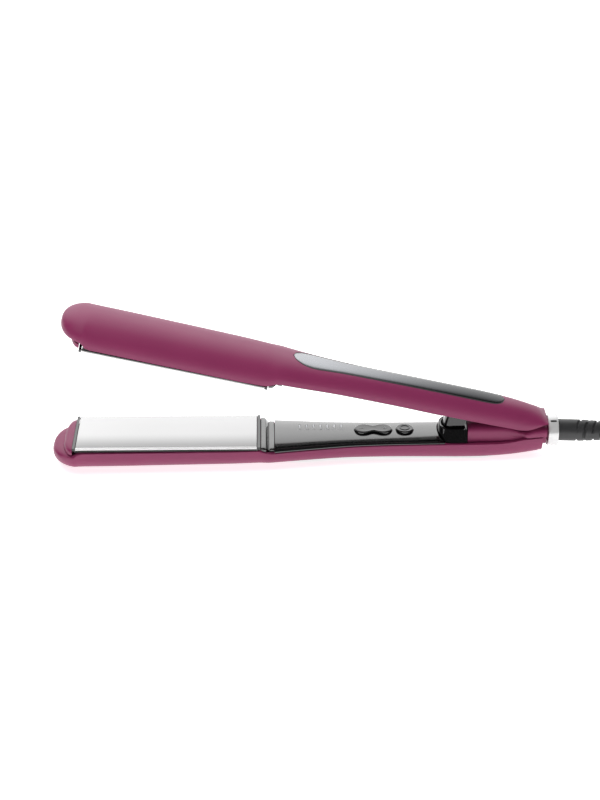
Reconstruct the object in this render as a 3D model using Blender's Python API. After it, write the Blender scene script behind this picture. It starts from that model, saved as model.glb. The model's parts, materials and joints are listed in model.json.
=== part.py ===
"""Flat iron: two hinged arms with floating plates, a sprung hinge, controls, a twist ring and a mains lead.

The lower arm lies on the plane z = 0 with its tip towards -X, its cord towards +X and the hinge pin along Y.
Each arm is drawn in its own frame: u runs along the arm, y across it, and d is the depth outwards from the
plane where the two arms meet. The lower arm's d points down and the upper arm's d points up.
"""
import math

import bmesh
import bpy
from mathutils import Matrix, Vector

MM = 0.001
GAP = 0.3

# Overall layout, in millimetres and degrees.
TIP_U = -151.5
NOSE_LENGTH = 20.0
NOSE_DEPTH = 9.5
HINGE_U = 142.5
HINGE_W = 1.0
OPEN_DEG = 13.3
PITCH_DEG = 0.645
FRAME_HEIGHT = 17.34
ORIGIN_X = -28.8
WALL = 2.2
SHELL_POWER = 2.3

# Smooth outlines along the arm: (u, value) pairs.
WIDTH = [(-130, 22.6), (-45, 22.6), (-30, 22.1), (-20, 21.3), (-13, 20.3), (0, 18.7), (12, 17.2),
         (24, 15.9),
         (35, 15.1), (60, 14.3), (90, 14.2), (112, 14.0), (127, 13.3), (140, 12.2), (151.7, 10.8)]
LOWER_DEPTH = [(-130, 19.0), (-110, 18.85), (-88, 18.5), (-58, 18.0), (-30, 17.5), (-13, 17.1), (0, 16.7),
               (12, 16.3), (35, 15.9), (60, 16.0), (85, 16.3), (100, 16.5), (111, 16.4), (123, 15.9),
               (135, 14.9), (145, 13.5), (151.7, 12.3)]
UPPER_DEPTH = [(-130, 19.0), (-110, 18.85), (-88, 18.5), (-58, 18.0), (-30, 17.3), (-13, 16.5), (0, 15.9),
               (12, 15.7), (35, 15.8), (60, 16.2), (104, 16.4), (118, 16.2), (131, 15.5), (143.7, 13.6),
               (147.6, 12.0), (150.2, 10.6)]
RIM_FRONT = [(-144.6, 5.3), (-137.6, 5.3), (-134.5, 3.0), (-118, 2.9), (-88, 2.7), (-58, 2.55), (-27, 2.4),
             (-24.5, 2.6), (-22, 3.6), (-19, 4.7), (-16, 5.0), (-13, 4.9), (0, 4.6), (12, 4.4), (35, 3.8),
             (60, 3.5), (90, 3.2)]
LOWER_RIM = RIM_FRONT + [(120, 3.1), (130, 2.4), (139, 1.0), (149, 0.8)]
UPPER_RIM = RIM_FRONT + [(120, 3.3), (128, 3.2), (133, 3.1), (138, 3.7), (142, 5.3), (146, 7.7), (150.2, 9.9)]

# Heating plates.
PLATE_U = (-136.0, -26.0)
PLATE_FACE = 0.2
PLATE_HALF = 21.4
PLATE_BEVEL = 1.5
PLATE_BEVEL_DEPTH = 1.15

# Controls on the lower arm.
ROCKER_U = 45.65
ROCKER_HALF = 11.55
ROCKER_WAIST = 2.5
POWER_U = 65.0
POWER_RADIUS = 5.36
BUTTON_TOP = -1.2
BOARD_SCREWS = (31.0, 74.5)
LED_COUNT = 7
LED_FIRST_U = 0.4
LED_PITCH = 4.28
LED_Y = 6.2

# Spring cup and post.
WELL_U = 94.9
WELL_RADIUS = 7.7
POST_RADIUS = 6.6
CUP_RIM = -4.7

# Ring, strain relief and cord.
RING_U = 152.8
RING_WIDTH = 6.3
RING_RADIUS = 9.9
RING_W = -1.0
RELIEF_TILT_DEG = 2.0
RELIEF_LENGTH = 50.0
CORD_DIAMETER = 6.5

# Hank of stored cord.
HANK_X = 265.0
HANK_RUN = 74.0
HANK_INNER = 20.0
HANK_LAYERS = 4
HANK_BASE = 1.4

PLUM = (0.235, 0.045, 0.115, 1.0)
BLACK = (0.012, 0.012, 0.013, 1.0)
GUNMETAL = (0.09, 0.095, 0.10, 1.0)
TITANIUM = (0.80, 0.80, 0.80, 1.0)
STEEL = (0.55, 0.56, 0.57, 1.0)
SILVER = (0.86, 0.86, 0.86, 1.0)
CERAMIC = (0.85, 0.83, 0.78, 1.0)
RUBBER = (0.05, 0.05, 0.05, 1.0)
BOARD = (0.02, 0.16, 0.06, 1.0)
CLEAR = (0.9, 0.92, 0.92, 1.0)
BRASS = (0.62, 0.45, 0.16, 1.0)


# ---------------------------------------------------------------- helpers

def clear_scene():
    for item in list(bpy.data.objects):
        bpy.data.objects.remove(item, do_unlink=True)


def material(name, colour, roughness, metallic=0.0):
    made = bpy.data.materials.new(name)
    made.use_nodes = True
    shader = made.node_tree.nodes["Principled BSDF"]
    shader.inputs["Base Color"].default_value = colour
    shader.inputs["Roughness"].default_value = roughness
    shader.inputs["Metallic"].default_value = metallic
    return made


def smooth(knots, u):
    """Value at u of a smooth curve through the knots that never overshoots them."""
    if u <= knots[0][0]:
        return knots[0][1]
    if u >= knots[-1][0]:
        return knots[-1][1]
    index = max(i for i in range(len(knots) - 1) if knots[i][0] <= u)
    slopes = [(knots[i + 1][1] - knots[i][1]) / (knots[i + 1][0] - knots[i][0])
              for i in range(len(knots) - 1)]

    def tangent(i):
        if i == 0 or i == len(knots) - 1 or slopes[i - 1] * slopes[i] <= 0:
            return 0.0
        return 2 * slopes[i - 1] * slopes[i] / (slopes[i - 1] + slopes[i])

    (u0, v0), (u1, v1) = knots[index], knots[index + 1]
    span = u1 - u0
    t = (u - u0) / span
    start, end = tangent(index) * span, tangent(index + 1) * span
    return ((2 * t ** 3 - 3 * t ** 2 + 1) * v0 + (t ** 3 - 2 * t ** 2 + t) * start
            + (3 * t ** 2 - 2 * t ** 3) * v1 + (t ** 3 - t ** 2) * end)


def power(value, exponent):
    return math.copysign(abs(value) ** exponent, value)


class Arm:
    """Frame of one arm: turns (u, y, d) into the local space of the arm's empty."""

    def __init__(self, name, side, origin_u, origin_w, empty, depth, rim):
        self.name, self.side = name, side
        self.origin_u, self.origin_w = origin_u, origin_w
        self.empty = empty
        self.depth_knots, self.rim_knots = depth, rim

    def local(self, u, y, d):
        return Vector((u - self.origin_u, y, self.side * d - self.origin_w)) * MM

    def nose(self, u):
        """0 at the tip, rising to 1 where the nose has reached the full section."""
        s = min(max((u - TIP_U) / NOSE_LENGTH, 0.0), 1.0)
        return (1 - (1 - s) ** SHELL_POWER) ** (1 / SHELL_POWER)

    def half_width(self, u):
        return max(smooth(WIDTH, u) * self.nose(u), 0.4)

    def middle(self, u):
        """Depth of the widest line, which runs from the nose's middle up to the rim."""
        s = min(max((u - TIP_U) / NOSE_LENGTH, 0.0), 1.0)
        return NOSE_DEPTH + (self.rim(max(u, -144.6)) + 0.5 - NOSE_DEPTH) * s ** 0.8

    def depth(self, u):
        full = smooth(self.depth_knots, u)
        return self.middle(u) + (full - self.middle(u)) * self.nose(u) + 0.05

    def rim(self, u):
        if u >= -144.6:
            return smooth(self.rim_knots, u)
        s = (u - TIP_U) / (-144.6 - TIP_U)
        return NOSE_DEPTH - (NOSE_DEPTH - 5.3) * math.sqrt(max(1 - (1 - s) ** 2, 0.0))

    def surface(self, u, y):
        """Depth of the outer surface at (u, y)."""
        across = min(abs(y) / self.half_width(u), 1.0)
        middle = self.middle(u)
        return middle + (self.depth(u) - middle) * (1 - across ** SHELL_POWER) ** (1 / SHELL_POWER)


def finish(name, bm, mat, parent, angle=35.0):
    bmesh.ops.recalc_face_normals(bm, faces=bm.faces)
    if bm.calc_volume(signed=True) < 0:
        bmesh.ops.reverse_faces(bm, faces=bm.faces)
    mesh = bpy.data.meshes.new(name)
    bm.to_mesh(mesh)
    bm.free()
    mesh.materials.append(mat)
    mesh.shade_smooth()
    mesh.set_sharp_from_angle(angle=math.radians(angle))
    made = bpy.data.objects.new(name, mesh)
    bpy.context.collection.objects.link(made)
    made.parent = parent
    return made


def loft(rings):
    """Closed solid through rings of points that all have the same count."""
    bm = bmesh.new()
    loops = [[bm.verts.new(point) for point in ring] for ring in rings]
    count = len(loops[0])
    for first, second in zip(loops, loops[1:]):
        for i in range(count):
            j = (i + 1) % count
            bm.faces.new((first[i], first[j], second[j], second[i]))
    bm.faces.new(loops[0])
    bm.faces.new(loops[-1])
    return bm


def arm_loft(arm, name, stations, section, mat, angle=35.0):
    rings = [[arm.local(u, y, d) for y, d in section(u)] for u in stations]
    return finish(name, loft(rings), mat, arm.empty, angle)


def arm_prism(arm, name, outline, d0, d1, mat, angle=35.0):
    """Outline in (u, y) pushed from depth d0 to depth d1."""
    rings = [[arm.local(u, y, d) for u, y in outline] for d in (d0, d1)]
    return finish(name, loft(rings), mat, arm.empty, angle)


def arm_box(arm, name, u, y, d, mat):
    outline = [(u[0], y[0]), (u[1], y[0]), (u[1], y[1]), (u[0], y[1])]
    return arm_prism(arm, name, outline, d[0], d[1], mat)


def circle(radius, u=0.0, y=0.0, count=32):
    return [(u + radius * math.cos(2 * math.pi * i / count), y + radius * math.sin(2 * math.pi * i / count))
            for i in range(count)]


def arm_post(arm, name, u, y, profile, mat, count=24):
    """Turned piece standing along d: profile is a list of (radius, d)."""
    rings = [[arm.local(*point, d) for point in circle(radius, u, y, count)] for radius, d in profile]
    return finish(name, loft(rings), mat, arm.empty)


def cross_pin(arm, name, u, d, radius, half, mat, count=24):
    """Cylinder along y, centred on (u, d)."""
    rings = [[arm.local(u + a, y, d + b) for a, b in circle(radius, count=count)] for y in (-half, half)]
    return finish(name, loft(rings), mat, arm.empty)


def long_turning(arm, name, profile, centre_d, mat, count=40):
    """Turned piece along u: profile is a list of (u, radius)."""
    rings = [[arm.local(u, y, centre_d + d) for y, d in circle(radius, count=count)] for u,
             radius in profile]
    return finish(name, loft(rings), mat, arm.empty)


def boolean(target, tool, operation="DIFFERENCE"):
    tool.hide_render = True
    tool.display_type = 'WIRE'
    tool.name = "tool_" + tool.name
    modifier = target.modifiers.new(tool.name, 'BOOLEAN')
    modifier.operation = operation
    modifier.solver = 'EXACT'
    modifier.object = tool


# ---------------------------------------------------------------- frames

def make_empty(name, location, turn_y, parent=None):
    empty = bpy.data.objects.new(name, None)
    bpy.context.collection.objects.link(empty)
    empty.location = Vector(location) * MM
    empty.rotation_euler = (0.0, math.radians(turn_y), 0.0)
    empty.parent = parent
    return empty


# ---------------------------------------------------------------- shells

def shell_section(arm, u):
    """Closed outline of the outer surface: over the outside, then back along the rim."""
    a, mid, deep, rim = arm.half_width(u), arm.middle(u), arm.depth(u), arm.rim(u)
    outside = [math.pi * i / 20 for i in range(21)]
    points = [(-a * power(math.cos(t), 2 / SHELL_POWER),
               mid + (deep - mid) * math.sin(t) ** (2 / SHELL_POWER))
              for t in outside]
    flat = max(min(mid - rim, a * 0.9), 0.05)
    for i in range(1, 8):
        t = math.pi * i / 8
        points.append((a * power(math.cos(t), 0.5), mid - flat * math.sin(t) ** 0.7))
    return points


def shell_stations(end):
    nose = [TIP_U + NOSE_LENGTH * (1 - math.cos(math.pi / 2 * i / 8)) for i in range(9)]
    body = [-126, -110, -90, -60, -35, -27, -24, -21, -18, -14, -6, 4, 14, 26, 40, 60, 80, 96, 110, 120,
            128,
            134, 138, 142, 146]
    return nose + body + [end]


def cavity_section(arm, u):
    wall = smooth([(-141.5, 4.2), (-135, 2.6), (-127, WALL)], u)
    a, mid, deep = arm.half_width(u) - wall, arm.middle(u), arm.depth(u) - wall
    outside = [math.pi * i / 18 for i in range(19)]
    points = [(-a * power(math.cos(t), 2 / SHELL_POWER),
               mid + (deep - mid) * math.sin(t) ** (2 / SHELL_POWER))
              for t in outside]
    return points + [(a, -8.0), (-a, -8.0)]


def outer_shell(arm, end, mats):
    shell = arm_loft(arm, arm.name + "_outer_shell", shell_stations(end), lambda u: shell_section(arm, u),
                     mats["plum"])
    stations = [-141.5, -137, -133, -127, -110, -90, -60, -35, -26, -20, -14, -6, 4, 14, 26, 40, 60, 80, 96,
                110, 122, 130, 138, 145, end + 4]
    cavity = arm_loft(arm, arm.name + "_cavity", stations, lambda u: cavity_section(arm, u), mats["plum"])
    boolean(shell, cavity)
    return shell


INLAY_U = (-10.9, 121.5)
INLAY_HALF = [(-10.9, 0.0), (-9.8, 3.4), (-7.6, 5.8), (-3.5, 8.1), (2, 8.9), (10, 8.2), (22, 7.2),
              (40, 6.8),
              (108, 6.9), (115, 6.5), (119, 4.8), (120.8, 2.6), (121.5, 0.0)]


def inlay_section(arm, u, grow, lift, thick):
    half = smooth(INLAY_HALF, min(max(u, INLAY_U[0] + 0.15), INLAY_U[1] - 0.1)) + grow
    ys = [half * power(math.sin(math.pi / 2 * i / 5), 1.0) for i in range(-5, 6)]
    top = [(y, arm.surface(u, y) + lift) for y in ys]
    bottom = [(y, arm.surface(u, y) - thick) for y in reversed(ys)]
    return top + bottom


def inlay_stations():
    front = [INLAY_U[0] + step for step in (0.0, 0.5, 1.4, 3.0, 5.5, 9.0, 14.0, 20.0)]
    rear = [INLAY_U[1] - step for step in (6.0, 3.4, 1.8, 0.8, 0.3, 0.0)]
    return front + [24, 42, 60, 76, 92, 104] + rear


def grip_inlay(arm, shell, mats):
    stations = inlay_stations()
    piece = arm_loft(arm, arm.name + "_grip_inlay", stations,
                     lambda u: inlay_section(arm, u, 0.0, 0.2, 0.9), mats["gunmetal"])
    recess = arm_loft(arm, arm.name + "_inlay_recess", [INLAY_U[0] - GAP] + stations + [INLAY_U[1] + GAP],
                      lambda u: inlay_section(arm, u, GAP, 1.5, 1.3), mats["plum"])
    boolean(shell, recess)
    return piece


# ---------------------------------------------------------------- front of an arm

FRAME_U = (-144.4, -138.2)


def tip_frame(arm, mats):
    """Crescent-shaped crown between the nose and the plate."""
    def section(u):
        half = 20.6 * math.sqrt(1 - ((FRAME_U[1] - u) / 6.4) ** 2)
        crest = smooth([(-144.4, 4.4), (-143.6, 3.0), (-142.4, 1.9), (-140.6, 1.2), (-138.2, 0.9)], u)
        points = [(-half * power(math.cos(t), 0.45), 4.8 - (4.8 - crest) * math.sin(t) ** 0.45)
                  for t in [math.pi * i / 14 for i in range(15)]]
        return points + [(half, 5.0), (-half, 5.0)]

    stations = [FRAME_U[0], -144.1, -143.6, -142.8, -141.8, -140.4, FRAME_U[1]]
    return arm_loft(arm, arm.name + "_tip_frame", stations, section, mats["plum"])


def plate_seal(arm, mats):
    """Gloss black rails along the plate with a taller bar across each end."""
    u0, u1 = PLATE_U
    name = arm.name + "_plate_seal"
    seal = arm_box(arm, name, (u0 - 0.5, u1 + 0.5), (-22.0, 22.0), (1.8, 2.08), mats["black"])
    inside = arm_box(arm, name + "_inside", (u0 - GAP, u1 + GAP), (-20.0, 20.0), (0.0, 6.0), mats["black"])
    boolean(seal, inside)
    for label, start, stop in (("front", u0 - 1.9, u0 - GAP), ("rear", u1 + GAP, u1 + 2.1)):
        bar = arm_box(arm, name + "_" + label, (start, stop), (-20.9, 20.9), (0.35, 2.08), mats["black"])
        boolean(seal, bar, "UNION")
    return seal


def heating_plate(arm, mats):
    """Flat titanium face with bevelled long edges and a narrower body behind."""
    face, lip = PLATE_HALF - PLATE_BEVEL, PLATE_FACE + PLATE_BEVEL_DEPTH
    half = [(PLATE_HALF - 1.9, 3.4), (PLATE_HALF - 1.9, lip + 0.05), (PLATE_HALF, lip),
            (PLATE_HALF, lip - 0.2),
            (PLATE_HALF - 0.35, lip - 0.6), (PLATE_HALF - 0.9, PLATE_FACE + 0.22), (face, PLATE_FACE)]
    outline = half + [(-y, d) for y, d in reversed(half)]
    return arm_loft(arm, arm.name + "_plate", PLATE_U, lambda u: outline, mats["titanium"])


def heater_stack(arm, mats):
    """Ceramic heater, the clamp behind it and the two pads that let the plate float."""
    arm_box(arm, arm.name + "_heater", (-120, -44), (-9, 9), (3.7, 5.0), mats["ceramic"])
    arm_box(arm, arm.name + "_heater_clamp", (-126, -36), (-12, 12), (5.3, 8.8), mats["steel"])
    for label, u in (("front", -118), ("rear", -50)):
        floor = arm.surface(u, 6.0) - WALL - 0.5
        arm_box(arm, arm.name + "_pad_" + label, (u - 6, u + 6), (-5, 5), (9.4, floor), mats["rubber"])


def heat_collar(arm, mats):
    """Stepped gloss block between the plate and the inner cover."""
    levels = [(-23.5, 20.7, 1.2), (-22.4, 20.7, 1.2), (-20.9, 20.5, 1.3), (-19.4, 19.0, 2.8),
              (-19.0, 18.6, 3.0),
              (-18.8, 18.2, 3.5), (-18.5, 18.2, 3.5), (-18.2, 18.7, 2.9), (-15.4, 18.3, 2.7)]

    def section(u):
        half, crest = [(w, d) for at, w, d in levels if at == u][0]
        edge = arm.rim(u) - GAP
        top = edge - 0.4
        points = [(-half * power(math.cos(t), 0.4), top - (top - crest) * math.sin(t) ** 0.4)
                  for t in [math.pi * i / 12 for i in range(13)]]
        return points + [(half, edge), (-half, edge)]

    return arm_loft(arm, arm.name + "_heat_collar", [level[0] for level in levels], section,
                    mats["gunmetal"])


# ---------------------------------------------------------------- handle

COVER_THICK = 2.6


def cover_section(arm, u):
    """Crowned cover that lies on the rim: rounded shoulders below, a low even crown above."""
    angles = [math.pi * i / 16 for i in range(17)]
    crest, edge = 0.4, arm.rim(u) - GAP
    if arm.name == "lower":
        half, top = arm.half_width(u) - 0.5, edge - 0.5
        upper = [(-half * power(math.cos(t), 0.85), top - (top - crest) * math.sin(t) ** 0.85)
                 for t in angles]
    else:
        half = arm.half_width(u) - 1.2
        upper = [(-half * math.cos(t), edge - 0.1 - (edge - 0.1 - crest) * (1 - abs(math.cos(t)) ** 1.8))
                 for t in angles]
    inner = half - WALL
    floor = crest + COVER_THICK
    under = [(inner * power(math.cos(t), 2 / 3),
              edge - (edge - floor) * math.sin(t) ** (2 / 3)) for t in angles]
    return upper + [(half, edge)] + under[1:-1] + [(-half, edge)]


def inner_cover(arm, end, mats):
    stations = [-15.0, -9, -2, 6, 14, 24, 36, 52, 68, 81, end]
    return arm_loft(arm, arm.name + "_inner_cover", stations, lambda u: cover_section(arm, u),
                    mats["black"])


def rocker_outline(grow=0.0):
    """Figure of eight with a waist: a Cassini oval."""
    a2 = (ROCKER_HALF ** 2 + ROCKER_WAIST ** 2) / 2
    c2 = (ROCKER_HALF ** 2 - ROCKER_WAIST ** 2) / 2
    points = []
    for i in range(40):
        t = 2 * math.pi * i / 40
        r = math.sqrt(c2 * math.cos(2 * t) + math.sqrt(a2 ** 2 - (c2 * math.sin(2 * t)) ** 2))
        points.append((ROCKER_U + (r + grow) * math.cos(t), 1.2 * (r + grow * 1.4) * math.sin(t)))
    return points


def cover_bosses(arm, cover, mats):
    """Two bored bosses that take the screws of the control board."""
    for i, u in enumerate(BOARD_SCREWS):
        boss = arm_post(arm, "boss_%d" % i, u, 5.0, [(2.4, 2.4), (2.4, 6.3)], mats["black"], 20)
        boolean(cover, boss, "UNION")
        boolean(cover, arm_post(arm, "boss_bore_%d" % i, u, 5.0, [(1.4, 2.9), (1.4, 8.0)], mats["black"],
                                16))


def cover_openings(arm, cover, mats):
    hole = arm_prism(arm, "rocker_hole", rocker_outline(0.4), -6.0, 6.0, mats["black"])
    boolean(cover, hole)
    hole = arm_prism(arm, "power_hole", circle(POWER_RADIUS + 0.35, POWER_U), -6.0, 6.0, mats["black"])
    boolean(cover, hole)
    for i in range(LED_COUNT):
        u = LED_FIRST_U + i * LED_PITCH
        hole = arm_box(arm, "led_hole_%d" % i, (u - 1.1, u + 1.1), (LED_Y - 2.2, LED_Y + 2.2), (-6.0, 6.0),
                       mats["black"])
        boolean(cover, hole)


def light_guide(arm, mats):
    """Clear bar under the cover with one short post in each window."""
    last = LED_FIRST_U + (LED_COUNT - 1) * LED_PITCH
    guide = arm_box(arm, "led_light_guide", (LED_FIRST_U - 2, last + 2), (LED_Y - 2.6, LED_Y + 2.6),
                    (5.0, 6.0),
                    mats["clear"])
    for i in range(LED_COUNT):
        u = LED_FIRST_U + i * LED_PITCH
        post = arm_box(arm, "led_post_%d" % i, (u - 0.8, u + 0.8), (LED_Y - 1.9, LED_Y + 1.9), (0.75, 5.5),
                       mats["clear"])
        boolean(guide, post, "UNION")
    return guide


def cap_rings(outline, centre, levels):
    """Rings of one outline at several depths, each inset towards its centre by a factor."""
    cu, cy = centre
    return [[(cu + (u - cu) * f, cy + (y - cy) * f, d) for u, y in outline] for f, d in levels]


def button_cap(arm, name, outline, centre, top, bottom, pivot, mats):
    rings = cap_rings(outline, centre, [(0.9, top), (0.97, top + 0.12), (1.0, top + 0.5), (1.0, bottom)])
    empty = make_empty(name + "_axis", (pivot[0], 0.0, -pivot[1]), 0.0, arm.empty)
    offset = Vector((pivot[0], 0.0, -pivot[1])) * MM
    bm = loft([[arm.local(*point) - offset for point in ring] for ring in rings])
    return finish(name, bm, mats["black"], empty)


def controls(arm, mats):
    button_cap(arm, "temperature_rocker", rocker_outline(), (ROCKER_U, 0.0), BUTTON_TOP, 4.4,
               (ROCKER_U, 3.0), mats)
    button_cap(arm, "power_button", circle(POWER_RADIUS, POWER_U), (POWER_U, 0.0), BUTTON_TOP, 4.4,
               (POWER_U, 3.0), mats)
    board = arm_box(arm, "control_board", (-3, 78), (-8, 8), (6.6, 8.2), mats["board"])
    for name, u in (("minus_switch", ROCKER_U - 7.5), ("plus_switch", ROCKER_U + 7.5),
                    ("power_switch", POWER_U)):
        arm_box(arm, name, (u - 1.8, u + 1.8), (-1.8, 1.8), (5.4, 6.3), mats["steel"])
    for name, u in zip(("board_screw_front", "board_screw_rear"), BOARD_SCREWS):
        screw(arm, name, u, 5.0, 8.2 + GAP, mats)
        boolean(board, arm_post(arm, name + "_board_hole", u, 5.0, [(1.4, 5.0), (1.4, 9.0)], mats["board"],
                                16))


def screw(arm, name, u, y, head_d, mats):
    """Pan-head screw with its head outwards."""
    head, shank = 2.2, 1.1
    arm_post(arm, name, u, y, [(head * 0.7, head_d + 1.5), (head, head_d + 1.1), (head, head_d),
                               (shank, head_d), (shank, head_d - 4.4), (0.4, head_d - 5.0)],
             mats["steel"], 16)


# ---------------------------------------------------------------- hinge end

def hinge_block(arm, mats):
    """Plum block that rises from the lower arm between the upper arm's sides, with the neck for the ring."""
    def section(u):
        blend = min(max((u - 136.0) / 4.0, 0.0), 1.0)
        flush = arm.half_width(u) - 0.1
        narrow = smooth([(103, 10.8), (124, 10.7), (134, 10.0), (140, 9.6)], u)
        upper = narrow + (flush - narrow) * blend
        lower = min(10.6, flush - WALL - 0.3)
        crest = smooth([(103.0, 6.4), (105.4, 7.0), (124, 6.8), (132, 4.8), (136, 2.8), (138, 3.1),
                        (140, 3.8), (143, 4.8), (151.6, 5.0)], u)
        base = min(8.5, arm.depth(u) - WALL - 0.6)
        split = 0.4 * blend
        rise = [math.pi * i / 14 for i in range(15)]
        top = [(-upper * power(math.cos(t), 0.5),
                split - (crest + split) * math.sin(t) ** 0.5) for t in rise]
        bottom = [(lower * power(math.cos(t), 0.67),
                   split + (base - split) * math.sin(t) ** 0.67) for t in rise]
        return top + bottom

    stations = [103.0, 103.8, 105.4, 116, 124, 129, 132, 134, 136, 138, 140, 143, 146, 149, 151.6]
    block = arm_loft(arm, "hinge_block", stations, section, mats["plum"])
    profile = [(150.5, 6.4), (152.6, 6.4), (152.6, 8.6), (157.9, 8.6)]
    neck = long_turning(arm, "neck", profile, -RING_W, mats["plum"])
    boolean(block, neck, "UNION")
    bore = long_turning(arm, "neck_bore", [(153.2, 5.7), (161.0, 5.7)], -RING_W, mats["plum"])
    boolean(block, bore)
    slot = arm_box(arm, "lug_slot", (126.5, 148.0), (-5.1, 5.1), (-12.0, 4.8), mats["plum"])
    boolean(block, slot)
    boolean(block, cross_pin(arm, "pin_bore", HINGE_U, -HINGE_W, 1.8, 9.4, mats["plum"]))
    return block


def hinge_pin(arm, mats):
    return cross_pin(arm, "hinge_pin", HINGE_U, -HINGE_W, 1.5, 9.0, mats["steel"])


def hinge_lug(arm, mats):
    """Tongue of the upper arm that turns on the pin inside the block's slot."""
    lug = cross_pin(arm, "upper_hinge_lug", HINGE_U, HINGE_W, 4.3, 4.6, mats["gunmetal"], 32)
    web = arm_box(arm, "lug_web", (131.0, 144.5), (-4.6, 4.6), (1.5, 10.4), mats["gunmetal"])
    boolean(lug, web, "UNION")
    boolean(lug, cross_pin(arm, "lug_bore", HINGE_U, HINGE_W, 1.8, 8.0, mats["gunmetal"]))
    return lug


def cup_outline(front, half):
    """Round-fronted outline, square at the back."""
    centre = WELL_U
    nose = [(centre - (centre - front) * math.cos(t) ** 0.8, half * power(math.sin(t), 0.9))
            for t in [math.pi / 2 * i / 10 for i in range(-9, 10)]]
    return [(102.6, -half), (centre, -half)] + nose + [(centre, half), (102.6, half)]


def spring_cup(arm, mats):
    """Dark round-fronted housing of the opening spring, with a round well in its top."""
    levels = [(CUP_RIM, 85.9, 9.1), (CUP_RIM + 0.3, 85.7, 9.3), (0.0, 85.4, 11.4), (2.6, 85.1, 13.2),
              (2.7, 86.5, 11.4), (7.0, 86.7, 11.0), (10.2, 87.1, 8.9)]
    rings = [[arm.local(u, y, d) for u, y in cup_outline(front, half)] for d, front, half in levels]
    cup = finish("spring_cup", loft(rings), mats["black"], arm.empty)
    well = arm_post(arm, "spring_well", WELL_U, 0.0, [(WELL_RADIUS, -8.0), (WELL_RADIUS, 9.2)],
                    mats["black"], 36)
    boolean(cup, well)
    return cup


def cover_cut(arm, cover, mats):
    rings = [[arm.local(u, y, d) for u, y in cup_outline(84.8, 16.0)] for d in (-6.0, 8.0)]
    boolean(cover, finish("cup_clearance", loft(rings), mats["black"], arm.empty))


def spring_post(arm, mats):
    """Tube that plunges into the cup, on a plate inside the upper arm."""
    post = arm_post(arm, "spring_post", WELL_U, 0.0, [(POST_RADIUS - 0.5, -8.6), (POST_RADIUS, -8.1),
                                                      (POST_RADIUS, 8.5)], mats["black"], 36)
    plate = arm_box(arm, "post_plate", (85.2, 102.7), (-10.2, 10.2), (6.5, 9.2), mats["black"])
    boolean(post, plate, "UNION")
    bore = arm_post(arm, "post_bore", WELL_U, 0.0, [(5.2, -12.0), (5.2, 8.0)], mats["black"], 32)
    boolean(post, bore)
    return post


def post_screws(arm, shell, post, mats):
    """Countersunk screws that hold the post's plate to bosses inside the shell."""
    u = 100.1
    for name, y in (("post_screw_near", -7.5), ("post_screw_far", 7.5)):
        arm_post(arm, name, u, y, [(2.0, 6.7), (2.0, 7.1), (1.1, 8.2), (1.1, 12.2), (0.5, 12.7)],
                 mats["steel"], 16)
        sink = [(2.3, 6.0), (2.3, 7.3), (1.4, 8.4), (1.4, 10.0)]
        boolean(post, arm_post(arm, name + "_sink", u, y, sink, mats["black"], 16))
        boolean(shell, arm_post(arm, name + "_boss", u, y, [(2.6, 9.5), (2.6, 14.0)], mats["plum"], 20),
                "UNION")
        boolean(shell, arm_post(arm, name + "_bore", u, y, [(1.4, 9.0), (1.4, 13.1)], mats["plum"], 16))


def opening_spring(arm, mats):
    """Coil whose axis bends with half the hinge angle, from the cup's floor to the post's plate."""
    turns, per_turn, radius, wire = 8, 14, 3.0, 0.42
    lean = math.radians(OPEN_DEG)
    height = 27.0
    bend = height / lean
    count = turns * per_turn
    rings = []
    for i in range(count + 1):
        t = i / count
        turn = lean * t
        centre = Vector((WELL_U + bend * (1 - math.cos(turn)), 0.0, -8.4 + bend * math.sin(turn)))
        across = Vector((math.cos(turn), 0.0, -math.sin(turn)))
        along = Vector((math.sin(turn), 0.0, math.cos(turn)))
        phase = 2 * math.pi * i / per_turn
        out = across * math.cos(phase) + Vector((0.0, 1.0, 0.0)) * math.sin(phase)
        middle = centre + out * radius
        rings.append([(middle + out * wire * math.cos(s) + along * wire * math.sin(s)) * MM
                      for s in [2 * math.pi * k / 6 for k in range(6)]])
    return finish("opening_spring", loft(rings), mats["steel"], arm.empty)


def lock_ring(arm, mats):
    """Barrel-shaped ring round the neck with a lip behind it."""
    u0, u1 = RING_U, RING_U + RING_WIDTH
    empty = make_empty("lock_ring_axis", (u0, 0.0, RING_W), 0.0, arm.empty)
    profile = [(0.0, 8.95), (0.0, RING_RADIUS - 0.55), (0.35, RING_RADIUS - 0.2), (1.6, RING_RADIUS - 0.03),
               (u1 - u0 - 1.6, RING_RADIUS - 0.03), (u1 - u0 - 0.35, RING_RADIUS - 0.2),
               (u1 - u0, RING_RADIUS - 0.55), (u1 - u0, 6.9), (u1 - u0 - 0.8, 6.9), (u1 - u0 - 0.8, 8.95)]
    bm = bmesh.new()
    count = 48
    loops = []
    for i in range(count):
        t = 2 * math.pi * i / count
        loops.append([bm.verts.new(Vector((u, r * math.cos(t), r * math.sin(t))) * MM) for u, r in profile])
    for i in range(count):
        first, second = loops[i], loops[(i + 1) % count]
        for k in range(len(profile)):
            j = (k + 1) % len(profile)
            bm.faces.new((first[k], first[j], second[j], second[k]))
    return finish("lock_ring", bm, mats["silver"], empty)


def strain_relief(arm, mats):
    """Tapered sleeve that swivels in the neck; its axis dips a little towards the cord."""
    empty = make_empty("strain_relief_axis", (RING_U + RING_WIDTH, 0.0, RING_W), RELIEF_TILT_DEG, arm.empty)
    profile = [(-5.6, 4.7), (GAP, 4.7), (GAP, 6.7), (12.0, 6.7), (22.0, 6.3), (36.0, 5.2),
               (RELIEF_LENGTH - 0.6, 4.4),
               (RELIEF_LENGTH, 3.9)]
    rings = [[Vector((x, y, z)) * MM for y, z in circle(r, count=36)] for x, r in profile]
    return finish("strain_relief", loft(rings), mats["rubber"], empty)


# ---------------------------------------------------------------- cord

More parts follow.
